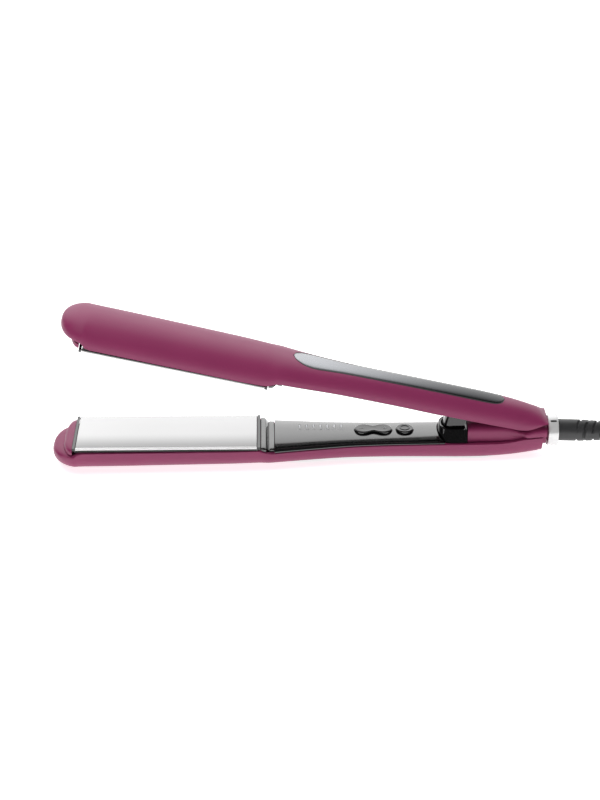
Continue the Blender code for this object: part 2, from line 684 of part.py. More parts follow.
LEAD_ROUTE = [(209.4, 0.0, 12.2), (216.0, -0.3, 11.75), (226.0, -2.4, 10.4), (237.0, -7.2, 8.4),
              (247.0, -13.2, 6.7), (257.0, -19.6, 5.4), (267.0, -24.4, 4.8), (275.4, -26.3, 4.7)]
TAIL_ROUTE = [(356.4, 26.4, 31.1), (350.0, 25.6, 31.1), (343.0, 22.2, 31.3), (336.0, 16.2, 32.0),
              (329.0, 9.0, 33.0), (322.0, 3.2, 33.9), (315.0, 0.4, 34.4), (310.0, 0.0, 34.5),
              (306.2, 0.0, 34.55)]
PLUG_X = 306.0
PLUG_Z = 34.55


def route_curve(route, spacing):
    """Evenly dense points of a smooth curve through the route."""
    points = [Vector(p) for p in route]
    dense = []
    for i in range(len(points) - 1):
        before, after = points[max(i - 1, 0)], points[min(i + 2, len(points) - 1)]
        p0, p1 = points[i], points[i + 1]
        m0, m1 = (p1 - before) / 2, (after - p0) / 2
        count = max(int((p1 - p0).length / spacing), 1)
        for k in range(count):
            t = k / count
            dense.append(p0 * (2 * t ** 3 - 3 * t ** 2 + 1) + m0 * (t ** 3 - 2 * t ** 2 + t)
                         + p1 * (3 * t ** 2 - 2 * t ** 3) + m1 * (t ** 3 - t ** 2))
    return dense + [points[-1]]


def cord_tube(name, route, table, mats):
    curve = bpy.data.curves.new(name, 'CURVE')
    curve.dimensions = '3D'
    curve.bevel_depth = CORD_DIAMETER / 2 * MM
    curve.bevel_resolution = 3
    curve.use_fill_caps = True
    points = route_curve(route, CORD_DIAMETER * 0.9)
    spline = curve.splines.new('POLY')
    spline.points.add(len(points) - 1)
    for target, point in zip(spline.points, points):
        target.co = (point.x * MM, point.y * MM, point.z * MM, 1.0)
    curve.materials.append(mats["rubber"])
    made = bpy.data.objects.new(name, curve)
    bpy.context.collection.objects.link(made)
    made.parent = table
    return made


def racetrack(radius, x0, run, count=20):
    """Outline of a hank seen from above: two straight runs and two half circles."""
    left = [(x0 + radius * math.cos(t), radius * math.sin(t))
            for t in [math.pi / 2 + math.pi * i / count for i in range(count + 1)]]
    right = [(x0 + run - x, -y) for x, y in [(p[0] - x0, p[1]) for p in left]]
    return left + right


def flat_ring(name, outer, inner, z0, z1, parent, mat):
    """Closed ring between two outlines with the same number of points."""
    bm = bmesh.new()
    loops = [[bm.verts.new(Vector((x, y, z)) * MM) for x, y in outline]
             for outline, z in ((outer, z0), (outer, z1), (inner, z1), (inner, z0))]
    count = len(outer)
    for k in range(4):
        first, second = loops[k], loops[(k + 1) % 4]
        for i in range(count):
            j = (i + 1) % count
            bm.faces.new((first[i], first[j], second[j], second[i]))
    return finish(name, bm, mat, parent)


def cord_hank(table, mats):
    centre = HANK_X + HANK_INNER + CORD_DIAMETER * 1.5
    outer = racetrack(HANK_INNER + CORD_DIAMETER * 1.5, centre, HANK_RUN)
    inner = racetrack(HANK_INNER - CORD_DIAMETER * 0.5, centre, HANK_RUN)
    top = HANK_BASE + HANK_LAYERS * CORD_DIAMETER
    return flat_ring("cord_hank", outer, inner, HANK_BASE, top, table, mats["rubber"])


def cord_tie(table, mats):
    """Flat strap round the whole hank."""
    side = HANK_INNER + CORD_DIAMETER * 1.5 + GAP
    top = HANK_BASE + HANK_LAYERS * CORD_DIAMETER + GAP
    low, wall = 1.1, 1.0
    bm = bmesh.new()
    loops = []
    for x in (357.0, 367.0):
        outer = [(side + wall, low - wall), (side + wall, top + wall), (-side - wall, top + wall),
                 (-side - wall, low - wall)]
        inner = [(side, low), (side, top), (-side, top), (-side, low)]
        loops.append([[bm.verts.new(Vector((x, y, z)) * MM) for y, z in ring] for ring in (outer, inner)])
    (outer0, inner0), (outer1, inner1) = loops
    for i in range(4):
        j = (i + 1) % 4
        for a, b in ((outer0, outer1), (inner0, inner1), (outer0, inner0), (outer1, inner1)):
            bm.faces.new((a[i], a[j], b[j], b[i]))
    return finish("cord_tie", bm, mats["black"], table)


def plug(table, mats):
    """Flat two-pin plug lying on the hank, pins towards the iron."""
    levels = [(0.3, 4.4, 4.4), (10.0, 5.4, 5.0), (12.0, 9.0, 6.4), (17.0, 13.0, 6.8), (30.0, 15.4, 6.85),
              (46.0, 17.65, 6.85), (47.5, 16.9, 6.2)]
    rings = []
    for x, half, thick in levels:
        rings.append([Vector((PLUG_X - x, half * power(math.cos(t), 0.6),
                              PLUG_Z + thick * power(math.sin(t), 0.6))) * MM
                      for t in [2 * math.pi * i / 28 for i in range(28)]])
    finish("plug_body", loft(rings), mats["rubber"], table)
    for name, y in (("plug_pin_a", 9.3), ("plug_pin_b", -9.3)):
        start = PLUG_X - 47.5 - GAP
        profile = [(0.0, 2.0), (-18.0, 2.0), (-19.0, 1.2)]
        rings = [[Vector((start + x, y + a, PLUG_Z + b)) * MM for a, b in circle(r, count=20)]
                 for x, r in profile]
        finish(name, loft(rings), mats["brass"], table)


# ---------------------------------------------------------------- belly

def belly_flats(pieces, mats):
    """Narrow flats where the arm rests on the plane z = 0."""
    for piece in pieces:
        bm = bmesh.new()
        below = Matrix.Translation((0.0, 0.0, -0.01)) @ Matrix.Diagonal((0.6, 0.2, 0.02, 1.0))
        bmesh.ops.create_cube(bm, size=1.0, matrix=below)
        boolean(piece, finish(piece.name + "_ground", bm, mats["plum"], None))


def front_of_arm(arm, mats):
    tip_frame(arm, mats)
    plate_seal(arm, mats)
    heating_plate(arm, mats)
    heater_stack(arm, mats)
    heat_collar(arm, mats)


def main():
    clear_scene()
    mats = {
        "plum": material("plum_soft_touch", PLUM, 0.45),
        "black": material("gloss_black", BLACK, 0.08),
        "gunmetal": material("gunmetal", GUNMETAL, 0.25, 0.6),
        "titanium": material("titanium", TITANIUM, 0.08, 1.0),
        "steel": material("steel", STEEL, 0.3, 1.0),
        "silver": material("silver", SILVER, 0.15, 1.0),
        "ceramic": material("ceramic", CERAMIC, 0.5),
        "rubber": material("rubber", RUBBER, 0.6),
        "board": material("board", BOARD, 0.4),
        "clear": material("clear", CLEAR, 0.2),
        "brass": material("nickel_brass", BRASS, 0.25, 1.0),
    }
    ground = make_empty("lower_arm_frame", (ORIGIN_X, 0.0, FRAME_HEIGHT), PITCH_DEG)
    hinge = make_empty("upper_arm_frame", (HINGE_U, 0.0, HINGE_W), OPEN_DEG, ground)
    lower = Arm("lower", -1, 0.0, 0.0, ground, LOWER_DEPTH, LOWER_RIM)
    upper = Arm("upper", 1, HINGE_U, HINGE_W, hinge, UPPER_DEPTH, UPPER_RIM)

    lower_shell = outer_shell(lower, 149.2, mats)
    lower_inlay = grip_inlay(lower, lower_shell, mats)
    belly_flats([lower_shell, lower_inlay], mats)
    upper_shell = outer_shell(upper, 150.2, mats)
    grip_inlay(upper, upper_shell, mats)
    for arm in (lower, upper):
        front_of_arm(arm, mats)

    cover = inner_cover(lower, 101.8, mats)
    cover_bosses(lower, cover, mats)
    cover_openings(lower, cover, mats)
    cover_cut(lower, cover, mats)
    light_guide(lower, mats)
    controls(lower, mats)

    cover = inner_cover(upper, 84.4, mats)
    boolean(cover, arm_box(upper, "button_relief", (31.0, 73.0), (-7.6, 7.6), (-3.0, 2.2), mats["black"]))

    hinge_block(lower, mats)
    hinge_pin(lower, mats)
    hinge_lug(upper, mats)
    spring_cup(lower, mats)
    post = spring_post(upper, mats)
    opening_spring(lower, mats)
    lock_ring(lower, mats)
    strain_relief(lower, mats)
    post_screws(upper, upper_shell, post, mats)
    arm_post(lower, "lower_thermistor", -38.0, 0.0, [(1.6, 3.7), (1.6, 5.0)], mats["ceramic"])
    arm_post(upper, "upper_thermal_fuse", -38.0, 0.0, [(2.0, 3.7), (2.0, 5.0)], mats["steel"])

    table = make_empty("cord_frame", (ORIGIN_X, 0.0, 0.0), 0.0)
    cord_tube("cord_lead", LEAD_ROUTE, table, mats)
    cord_hank(table, mats)
    cord_tube("cord_tail", TAIL_ROUTE, table, mats)
    cord_tie(table, mats)
    plug(table, mats)


main()
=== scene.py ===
"""Visual model of the flat iron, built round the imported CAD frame."""
import json
import math

import bmesh
import bpy
from mathutils import Matrix, Vector


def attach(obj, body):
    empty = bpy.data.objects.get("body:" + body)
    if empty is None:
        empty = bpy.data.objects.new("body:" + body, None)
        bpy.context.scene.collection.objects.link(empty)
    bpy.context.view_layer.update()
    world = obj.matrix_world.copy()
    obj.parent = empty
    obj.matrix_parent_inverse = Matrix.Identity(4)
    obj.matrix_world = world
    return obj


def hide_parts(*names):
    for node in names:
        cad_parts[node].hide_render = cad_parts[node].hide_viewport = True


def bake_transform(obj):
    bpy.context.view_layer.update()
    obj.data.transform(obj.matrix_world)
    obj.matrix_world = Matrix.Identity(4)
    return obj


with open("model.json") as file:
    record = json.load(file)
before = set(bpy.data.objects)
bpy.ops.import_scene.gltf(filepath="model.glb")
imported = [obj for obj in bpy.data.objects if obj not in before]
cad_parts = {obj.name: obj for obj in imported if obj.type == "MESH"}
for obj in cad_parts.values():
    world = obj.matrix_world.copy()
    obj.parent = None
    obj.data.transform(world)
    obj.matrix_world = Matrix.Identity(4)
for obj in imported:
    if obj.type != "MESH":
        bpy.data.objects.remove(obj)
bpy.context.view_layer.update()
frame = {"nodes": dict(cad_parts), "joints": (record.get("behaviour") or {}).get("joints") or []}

MM = 0.001
GAP = 0.3  # clearance between neighbouring pieces, in millimetres

# ---------------------------------------------------------------- frames of the two arms

TIP_U = -151.5
NOSE_LENGTH = 20.0
NOSE_DEPTH = 9.5
HINGE_U = 142.5
HINGE_W = 1.0
OPEN_DEG = 13.3
PITCH_DEG = 0.645
FRAME_HEIGHT = 17.34
ORIGIN_X = -28.8
WALL = 2.2
POWER = 2.3  # exponent of the superellipses that shape the shells
LEAST_HALF = 0.4
MIDDLE_LIFT = 0.5
MIDDLE_SWEEP = 0.8
DEPTH_MARGIN = 0.05
SHELL_END = {"lower": 149.2, "upper": 150.2}


def moved(x, y, z):
    """Translation by a distance in millimetres."""
    return Matrix.Translation(Vector((x, y, z)) * MM)


def pitched(degrees):
    return Matrix.Rotation(math.radians(degrees), 4, 'Y')


GROUND = moved(ORIGIN_X, 0, FRAME_HEIGHT) @ pitched(PITCH_DEG)
HINGE = GROUND @ moved(HINGE_U, 0, HINGE_W) @ pitched(OPEN_DEG)

WIDTH = [(-130, 22.6), (-45, 22.6), (-30, 22.1), (-20, 21.3), (-13, 20.3), (0, 18.7), (12, 17.2),
         (24, 15.9), (35, 15.1), (60, 14.3), (90, 14.2), (112, 14.0), (127, 13.3), (140, 12.2),
         (151.7, 10.8)]
LOWER_DEPTH = [(-130, 19.0), (-110, 18.85), (-88, 18.5), (-58, 18.0), (-30, 17.5), (-13, 17.1), (0, 16.7),
               (12, 16.3), (35, 15.9), (60, 16.0), (85, 16.3), (100, 16.5), (111, 16.4), (123, 15.9),
               (135, 14.9), (145, 13.5), (151.7, 12.3)]
UPPER_DEPTH = [(-130, 19.0), (-110, 18.85), (-88, 18.5), (-58, 18.0), (-30, 17.3), (-13, 16.5), (0, 15.9),
               (12, 15.7), (35, 15.8), (60, 16.2), (104, 16.4), (118, 16.2), (131, 15.5), (143.7, 13.6),
               (147.6, 12.0), (150.2, 10.6)]
RIM_START_U = -144.6
RIM_START_D = 5.3
RIM_FRONT = [(RIM_START_U, RIM_START_D), (-137.6, 5.3), (-134.5, 3.0), (-118, 2.9), (-88, 2.7),
             (-58, 2.55), (-27, 2.4), (-24.5, 2.6), (-22, 3.6), (-19, 4.7), (-16, 5.0), (-13, 4.9),
             (0, 4.6), (12, 4.4), (35, 3.8), (60, 3.5), (90, 3.2)]
LOWER_RIM = RIM_FRONT + [(120, 3.1), (130, 2.4), (139, 1.0), (149, 0.8)]
UPPER_RIM = RIM_FRONT + [(120, 3.3), (128, 3.2), (133, 3.1), (138, 3.7), (142, 5.3), (146, 7.7),
                         (150.2, 9.9)]

PLATE_U = (-136.0, -26.0)
PLATE_EDGE_Y = 20.1
SEAL_HALF = {"lower": 22.0, "upper": 21.2}
ROCKER_U = 45.65
ROCKER_HALF = 11.55
ROCKER_WAIST = 2.5
POWER_U = 65.0
POWER_RADIUS = 5.36
LED_COUNT = 7
LED_FIRST_U = 0.4
LED_PITCH = 4.28
LED_Y = 6.2
WINDOW_HALF = (0.6, 1.9)
WINDOW_CUT_HALF = (0.72, 2.02)
WELL_U = 94.9
RING_U = 152.8
RING_WIDTH = 6.3
RING_RADIUS = 9.9
RING_W = -1.0
RELIEF_LENGTH = 50.0
GROOVE_START = 11.0
GROOVE_END = 47.5
GROOVE_PITCH = 5.2
GROOVE_DEPTH = 1.1
GROOVE_SLANT = 0.55
CORD_DIAMETER = 6.5


def hermite(v0, v1, m0, m1, t):
    """Cubic from v0 to v1 that starts with slope m0 and ends with slope m1."""
    return ((2 * t ** 3 - 3 * t ** 2 + 1) * v0 + (t ** 3 - 2 * t ** 2 + t) * m0
            + (3 * t ** 2 - 2 * t ** 3) * v1 + (t ** 3 - t ** 2) * m1)


def smooth(knots, u):
    """Value at u of a smooth curve through the knots that never overshoots them."""
    if u <= knots[0][0]:
        return knots[0][1]
    if u >= knots[-1][0]:
        return knots[-1][1]
    index = max(i for i in range(len(knots) - 1) if knots[i][0] <= u)
    slopes = [(after[1] - before[1]) / (after[0] - before[0]) for before, after in zip(knots, knots[1:])]

    def tangent(i):
        if i == 0 or i == len(knots) - 1 or slopes[i - 1] * slopes[i] <= 0:
            return 0.0
        return 2 * slopes[i - 1] * slopes[i] / (slopes[i - 1] + slopes[i])

    (u0, v0), (u1, v1) = knots[index], knots[index + 1]
    width = u1 - u0
    return hermite(v0, v1, tangent(index) * width, tangent(index + 1) * width, (u - u0) / width)


def power(value, exponent):
    """Power that keeps the sign of its base."""
    return math.copysign(abs(value) ** exponent, value)


def span(start, stop, count):
    """Equal steps from start to stop, both included."""
    return [start + (stop - start) * i / count for i in range(count + 1)]


def turn(count):
    """Angles of one full turn in equal steps."""
    return [2 * math.pi * i / count for i in range(count)]


def arch(half, foot, crest, exponent, count):
    """Arch across y from -half to half, which goes from depth foot to depth crest in the middle."""
    return [(-half * power(math.cos(t), exponent), foot - (foot - crest) * abs(math.sin(t)) ** exponent)
            for t in span(0, math.pi, count)]


class Arm:
    """One arm: u runs along it, y across it, and d is the depth outwards from where the arms meet."""

    def __init__(self, name, side, matrix, origin, depth, rim):
        self.name, self.side, self.matrix, self.origin = name, side, matrix, origin
        self.body = name + "_arm"
        self.depth_knots, self.rim_knots = depth, rim

    def at(self, u, y, d):
        return self.matrix @ (Vector((u - self.origin[0], y, self.side * d - self.origin[1])) * MM)

    def nose(self, u):
        """Share of the full section that the rounded nose has reached at u."""
        s = min(max((u - TIP_U) / NOSE_LENGTH, 0.0), 1.0)
        return (1 - (1 - s) ** POWER) ** (1 / POWER)

    def half_width(self, u):
        return max(smooth(WIDTH, u) * self.nose(u), LEAST_HALF)

    def middle(self, u):
        s = min(max((u - TIP_U) / NOSE_LENGTH, 0.0), 1.0)
        return NOSE_DEPTH + (self.rim(max(u, RIM_START_U)) + MIDDLE_LIFT - NOSE_DEPTH) * s ** MIDDLE_SWEEP

    def depth(self, u):
        full = smooth(self.depth_knots, u)
        return self.middle(u) + (full - self.middle(u)) * self.nose(u) + DEPTH_MARGIN

    def rim(self, u):
        if u >= RIM_START_U:
            return smooth(self.rim_knots, u)
        s = (u - TIP_U) / (RIM_START_U - TIP_U)
        return NOSE_DEPTH - (NOSE_DEPTH - RIM_START_D) * math.sqrt(max(1 - (1 - s) ** 2, 0.0))

    def surface(self, u, y):
        """Depth of the outer skin."""
        across = min(abs(y) / self.half_width(u), 1.0)
        middle = self.middle(u)
        return middle + (self.depth(u) - middle) * (1 - across ** POWER) ** (1 / POWER)


LOWER = Arm("lower", -1, GROUND, (0.0, 0.0), LOWER_DEPTH, LOWER_RIM)
UPPER = Arm("upper", 1, HINGE, (HINGE_U, HINGE_W), UPPER_DEPTH, UPPER_RIM)


# ---------------------------------------------------------------- materials

def srgb(*rgb):
    """Linear colour of an 8-bit sRGB one."""
    scaled = [c / 255 for c in rgb]
    return tuple(c / 12.92 if c <= 0.04045 else ((c + 0.055) / 1.055) ** 2.4 for c in scaled) + (1.0,)


def finish_material(name, dark, light, rough, metallic=0.0, grain=900.0, grain_depth=0.00002, blotch=35.0,
                    rough_spread=0.05, stretch=(1, 1, 1), fade=None, **sockets):
    """Principled finish with a soft colour drift, uneven gloss and a fine surface grain.

    A fade is (axis, start, stop, dim): the colour is multiplied by dim at start and by 1 at stop."""
    made = bpy.data.materials.new(name)
    made.use_nodes = True
    nodes, links = made.node_tree.nodes, made.node_tree.links
    shader = nodes["Principled BSDF"]
    shader.inputs["Metallic"].default_value = metallic
    for key, value in sockets.items():
        shader.inputs[key.replace("_", " ")].default_value = value
    place = nodes.new("ShaderNodeTexCoord")
    mapping = nodes.new("ShaderNodeMapping")
    mapping.inputs["Scale"].default_value = stretch
    links.new(place.outputs["Object"], mapping.inputs["Vector"])

    def noise(scale, detail):
        made_noise = nodes.new("ShaderNodeTexNoise")
        made_noise.inputs["Scale"].default_value = scale
        made_noise.inputs["Detail"].default_value = detail
        links.new(mapping.outputs["Vector"], made_noise.inputs["Vector"])
        return made_noise.outputs["Fac"]

    tone = nodes.new("ShaderNodeMixRGB")
    tone.inputs["Color1"].default_value = dark
    tone.inputs["Color2"].default_value = light
    links.new(noise(blotch, 3.0), tone.inputs["Fac"])
    colour = tone.outputs["Color"]
    # The fade paints light and shade into the colour: a smooth gradient along one object axis, dim at start
    # and full at stop.
    if fade:
        axis, start, stop, dim = fade
        split = nodes.new("ShaderNodeSeparateXYZ")
        links.new(place.outputs["Object"], split.inputs[0])
        drift = nodes.new("ShaderNodeMapRange")
        drift.interpolation_type = 'SMOOTHSTEP'
        drift.inputs["From Min"].default_value = start
        drift.inputs["From Max"].default_value = stop
        drift.inputs["To Min"].default_value = dim
        links.new(split.outputs[axis], drift.inputs["Value"])
        painted_light_multiply = nodes.new("ShaderNodeMixRGB")
        painted_light_multiply.blend_type = 'MULTIPLY'
        painted_light_multiply.inputs["Fac"].default_value = 1.0
        links.new(colour, painted_light_multiply.inputs["Color1"])
        links.new(drift.outputs["Result"], painted_light_multiply.inputs["Color2"])
        colour = painted_light_multiply.outputs["Color"]
    links.new(colour, shader.inputs["Base Color"])
    gloss = nodes.new("ShaderNodeMapRange")
    gloss.inputs["To Min"].default_value = max(rough - rough_spread, 0.02)
    gloss.inputs["To Max"].default_value = rough + rough_spread
    links.new(noise(blotch * 3, 4.0), gloss.inputs["Value"])
    links.new(gloss.outputs["Result"], shader.inputs["Roughness"])
    bump = nodes.new("ShaderNodeBump")
    bump.inputs["Distance"].default_value = grain_depth
    bump.inputs["Strength"].default_value = 0.6
    links.new(noise(grain, 2.0), bump.inputs["Height"])
    links.new(bump.outputs["Normal"], shader.inputs["Normal"])
    return made


MATS = {
    "plum": finish_material("plum_soft_touch", srgb(134, 47, 88), srgb(141, 51, 93), 0.4, grain=2600.0,
                            grain_depth=0.00001, Specular_IOR_Level=0.4),
    "black": finish_material("gloss_black", srgb(14, 14, 15), srgb(19, 19, 20), 0.10, grain=300.0,
                             grain_depth=0.000004, rough_spread=0.03, Coat_Weight=0.6, Coat_Roughness=0.05),
    "panel": finish_material("panel_black", srgb(10, 10, 11), srgb(14, 14, 15), 0.16, grain=300.0,
                             grain_depth=0.000004, rough_spread=0.03, Specular_IOR_Level=0.9,
                             Coat_Weight=1.0, Coat_Roughness=0.08),
    "gunmetal": finish_material("gunmetal", srgb(84, 86, 88), srgb(96, 98, 100), 0.2, metallic=0.8,
                                grain=700.0, grain_depth=0.000006, rough_spread=0.04),
    # The plate finish carries painted shade: its fade darkens the colour towards the near edge of the
    # plate.
    "titanium": finish_material("titanium", srgb(203, 203, 203), srgb(208, 208, 208), 0.16, metallic=0.6,
                                grain=260.0, grain_depth=0.000002, rough_spread=0.03, stretch=(0.08, 1, 1),
                                fade=("Y", -0.0215, -0.002, 0.5)),
    # The inlay finish is painted reflection: a lighter copy of gunmetal whose fade runs from bright at the
    # front end to dark towards the rear.
    "inlay": finish_material("inlay_gunmetal", srgb(166, 168, 172), srgb(176, 178, 182), 0.2, metallic=0.8,
                             grain=700.0, grain_depth=0.000006, rough_spread=0.04,
                             fade=("X", 0.085, -0.05, 0.14)),
    # The edge finish glows: its emission is a painted highlight that keeps the plate's rolled edges white.
    "edge": finish_material("plate_edge", srgb(226, 226, 226), srgb(236, 236, 236), 0.3, metallic=0.15,
                            grain=260.0, grain_depth=0.000002, Emission_Color=srgb(255, 255, 255),
                            Emission_Strength=0.25),
    "steel": finish_material("steel", srgb(170, 172, 174), srgb(190, 192, 194), 0.3, metallic=1.0,
                             grain=500.0),
    "silver": finish_material("silver_ring", srgb(226, 226, 226), srgb(234, 234, 234), 0.2, metallic=0.35,
                              grain=420.0, grain_depth=0.000004, rough_spread=0.03),
    "ceramic": finish_material("ceramic", srgb(232, 228, 216), srgb(240, 237, 228), 0.5),
    "rubber": finish_material("cord_pvc", srgb(50, 50, 51), srgb(58, 58, 59), 0.42, grain=1400.0,
                              grain_depth=0.00002),
    "board": finish_material("circuit_board", srgb(30, 96, 52), srgb(44, 116, 64), 0.35),
    # The lens finish glows faintly: its emission is painted light, since no lamp lights the windows.
    "clear": finish_material("light_lens", srgb(214, 216, 218), srgb(226, 228, 230), 0.25, grain=900.0,
                             Emission_Color=srgb(235, 240, 245), Emission_Strength=0.1),
    "brass": finish_material("nickel_brass", srgb(196, 176, 130), srgb(210, 192, 150), 0.25, metallic=1.0),
    "print": finish_material("pale_print", srgb(188, 190, 192), srgb(200, 202, 204), 0.5),
}


# ---------------------------------------------------------------- mesh helpers

SHARP_DEG = 35.0


def add_object(name, data):
    made = bpy.data.objects.new(name, data)
    bpy.context.collection.objects.link(made)
    return made


def solid_mesh(name, bm):
    """Mesh of a closed form with its faces turned outwards."""
    bmesh.ops.recalc_face_normals(bm, faces=bm.faces)
    if bm.calc_volume(signed=True) < 0:
        bmesh.ops.reverse_faces(bm, faces=bm.faces)
    mesh = bpy.data.meshes.new(name)
    bm.to_mesh(mesh)
    bm.free()
    return mesh


def piece(name, bm, mat, body, replaced=(), angle=SHARP_DEG):
    """One visible piece, dressed and set on its body."""
    return dress(add_object(name, solid_mesh(name, bm)), mat, body, replaced, angle)


def dress(made, mat, body, replaced=(), angle=SHARP_DEG):
    """Gives an object its material and smooth shading, and its place in the frame if a body is named."""
    made.data.materials.clear()
    made.data.materials.append(MATS[mat])
    made.data.shade_smooth()
    made.data.set_sharp_from_angle(angle=math.radians(angle))
    if body:
        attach(made, body)
        if replaced:
            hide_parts(*replaced)
    return made


def loft_mesh(rings, closed=False):
    """Skin over rings of points, capped at its ends unless it closes on itself."""
    bm = bmesh.new()
    loops = [[bm.verts.new(point) for point in ring] for ring in rings]
    count = len(loops[0])
    pairs = list(zip(loops, loops[1:]))
    if closed:
        pairs.append((loops[-1], loops[0]))
    for first, second in pairs:
        for i in range(count):
            j = (i + 1) % count
            bm.faces.new((first[i], first[j], second[j], second[i]))
    if not closed:
        bm.faces.new(loops[0])
        bm.faces.new(loops[-1])
    return bm


def arm_rings(arm, stations, section):
    return [[arm.at(u, *point) for point in section(u)] for u in stations]


def prism(arm, outline, d0, d1):
    return loft_mesh([[arm.at(u, y, d) for u, y in outline] for d in (d0, d1)])


def box_mesh(arm, u, y, d):
    return prism(arm, [(u[0], y[0]), (u[1], y[0]), (u[1], y[1]), (u[0], y[1])], d[0], d[1])


def post(arm, u, y, profile, count=48):
    """Round upright body: profile is a list of (radius, depth)."""
    return loft_mesh([[arm.at(u + r * math.cos(t), y + r * math.sin(t), d) for t in turn(count)]
                      for r, d in profile])


def turned(matrix, profile, count=96):
    """Solid of revolution about the local X axis: profile is a closed outline of (x, radius)."""
    rings = [[matrix @ (Vector((x, r * math.cos(t), r * math.sin(t))) * MM) for x, r in profile]
             for t in turn(count)]
    return loft_mesh(rings, closed=True)


def evaluated_mesh(source):
    bpy.context.view_layer.update()
    return bpy.data.meshes.new_from_object(source.evaluated_get(bpy.context.evaluated_depsgraph_get()))


def boolean(target, bm, operation='DIFFERENCE'):
    """Cuts or joins a mesh into the target and applies it at once."""
    tool = add_object("tool", solid_mesh("tool", bm))
    modifier = target.modifiers.new("cut", 'BOOLEAN')
    modifier.operation = operation
    modifier.solver = 'EXACT'
    modifier.object = tool
    result = evaluated_mesh(target)
    target.modifiers.clear()
    target.data = result
    bpy.data.objects.remove(tool)


def soften(target, width, segments=2, angle=40.0):
    """Rounds the hard edges."""
    modifier = target.modifiers.new("round", 'BEVEL')
    modifier.width = width * MM
    modifier.segments = segments
    modifier.limit_method = 'ANGLE'
    modifier.angle_limit = math.radians(angle)
    modifier.harden_normals = False
    modifier.use_clamp_overlap = True


# ---------------------------------------------------------------- camera, light and floor

# The camera is fitted to the photograph in the frame of the lower arm.
ELEVATION, YAW, ROLL = math.radians(27.5), math.radians(1.08), math.radians(0.07)
CAMERA_TARGET = (0.5, 0.0, 20.9)
CAMERA_DISTANCE = 1.131
CAMERA_REACH = 200.0
SENSOR_WIDTH = 36.0
FOCAL_PIXELS = 1852.0
LONG_SIDE_PIXELS = 800.0

# Strength of the white surroundings: dim near the ground and in front, bright above and behind.
WORLD_LEAN = 1.6
WORLD_RAMP = {"From Min": 1.1, "From Max": 1.95, "To Min": 0.05, "To Max": 1.75}
LIGHT_SIZE = (1.4, 0.8)
LIGHTS = [("top_softbox", (-0.25, 0.1, 1.1), (0, 0, 0), 11.0),
          ("front_fill", (0.1, -1.2, 0.5), (0, 0, 0.03), 3.2)]
FLOOR_HALF = 40.0
FLOOR_FINISH = {"Base Color": (0.93, 0.93, 0.93, 1), "Roughness": 0.9, "Emission Color": (1, 1, 1, 1),
                "Emission Strength": 0.75}


def look():
    forward = Vector((math.sin(YAW) * math.cos(ELEVATION), math.cos(YAW) * math.cos(ELEVATION),
                      -math.sin(ELEVATION)))
    right = Vector((math.cos(YAW), -math.sin(YAW), 0.0))
    up = right.cross(forward)
    right, up = (math.cos(ROLL) * right + math.sin(ROLL) * up,
                 -math.sin(ROLL) * right + math.cos(ROLL) * up)
    local = Matrix((right, up, -forward)).transposed().to_4x4()
    local.translation = Vector(CAMERA_TARGET) * MM - forward * CAMERA_DISTANCE
    data = bpy.data.cameras.new("camera")
    data.sensor_width = SENSOR_WIDTH
    data.lens = FOCAL_PIXELS * SENSOR_WIDTH / LONG_SIDE_PIXELS
    data.clip_end = CAMERA_REACH
    camera = add_object("camera", data)
    camera.matrix_world = GROUND @ local
    bpy.context.scene.camera = camera


def area(name, place, target, energy):
    """Soft rectangular light that leaves no bright patch in the glossy finishes."""
    data = bpy.data.lights.new(name, 'AREA')
    data.shape = 'RECTANGLE'
    data.size, data.size_y = LIGHT_SIZE
    data.energy = energy
    light = add_object(name, data)
    light.location = place
    light.visible_glossy = False
    light.rotation_euler = (Vector(target) - Vector(place)).to_track_quat('-Z', 'Y').to_euler()


def surroundings():
    world = bpy.data.worlds.new("studio")
    bpy.context.scene.world = world
    world.use_nodes = True
    nodes, links = world.node_tree.nodes, world.node_tree.links
    background = nodes["Background"]
    background.inputs["Color"].default_value = (1, 1, 1, 1)
    coords = nodes.new("ShaderNodeTexCoord")
    parts = nodes.new("ShaderNodeSeparateXYZ")
    links.new(coords.outputs["Generated"], parts.inputs[0])
    lean = nodes.new("ShaderNodeMath")
    lean.operation = 'MULTIPLY_ADD'
    lean.inputs[1].default_value = WORLD_LEAN
    links.new(parts.outputs["Y"], lean.inputs[0])
    links.new(parts.outputs["Z"], lean.inputs[2])
    ramp = nodes.new("ShaderNodeMapRange")
    ramp.interpolation_type = 'SMOOTHSTEP'
    for key, value in WORLD_RAMP.items():
        ramp.inputs[key].default_value = value
    links.new(lean.outputs[0], ramp.inputs["Value"])
    links.new(ramp.outputs["Result"], background.inputs["Strength"])


def studio():
    bpy.context.scene.view_settings.view_transform = 'Standard'
    surroundings()
    for light in LIGHTS:
        area(*light)
    bm = bmesh.new()
    bmesh.ops.create_grid(bm, x_segments=1, y_segments=1, size=FLOOR_HALF)
    mesh = bpy.data.meshes.new("floor")
    bm.to_mesh(mesh)
    bm.free()
    pale = bpy.data.materials.new("pale_floor")
    pale.use_nodes = True
    for key, value in FLOOR_FINISH.items():
        pale.node_tree.nodes["Principled BSDF"].inputs[key].default_value = value
    mesh.materials.append(pale)
    add_object("floor", mesh)


# ---------------------------------------------------------------- cord

LEAD_ROUTE = [(207.0, 0.0, 12.35), (209.4, 0.0, 12.2), (216.0, -0.3, 11.75), (226.0, -2.4, 10.4),
              (237.0, -7.2, 8.4), (247.0, -13.2, 6.7), (257.0, -19.6, 5.4), (267.0, -24.4, 4.8),
              (275.4, -26.3, 4.7), (285.0, -26.5, 4.65)]
TAIL_ROUTE = [(350.0, 26.2, 25.2), (343.0, 23.6, 27.9), (336.0, 17.4, 30.9), (329.0, 9.6, 32.9),
              (322.0, 3.4, 33.9), (315.0, 0.4, 34.4), (310.0, 0.0, 34.5), (304.0, 0.0, 34.55)]
HANK_LEFT = 294.75
HANK_RUN = 74.0
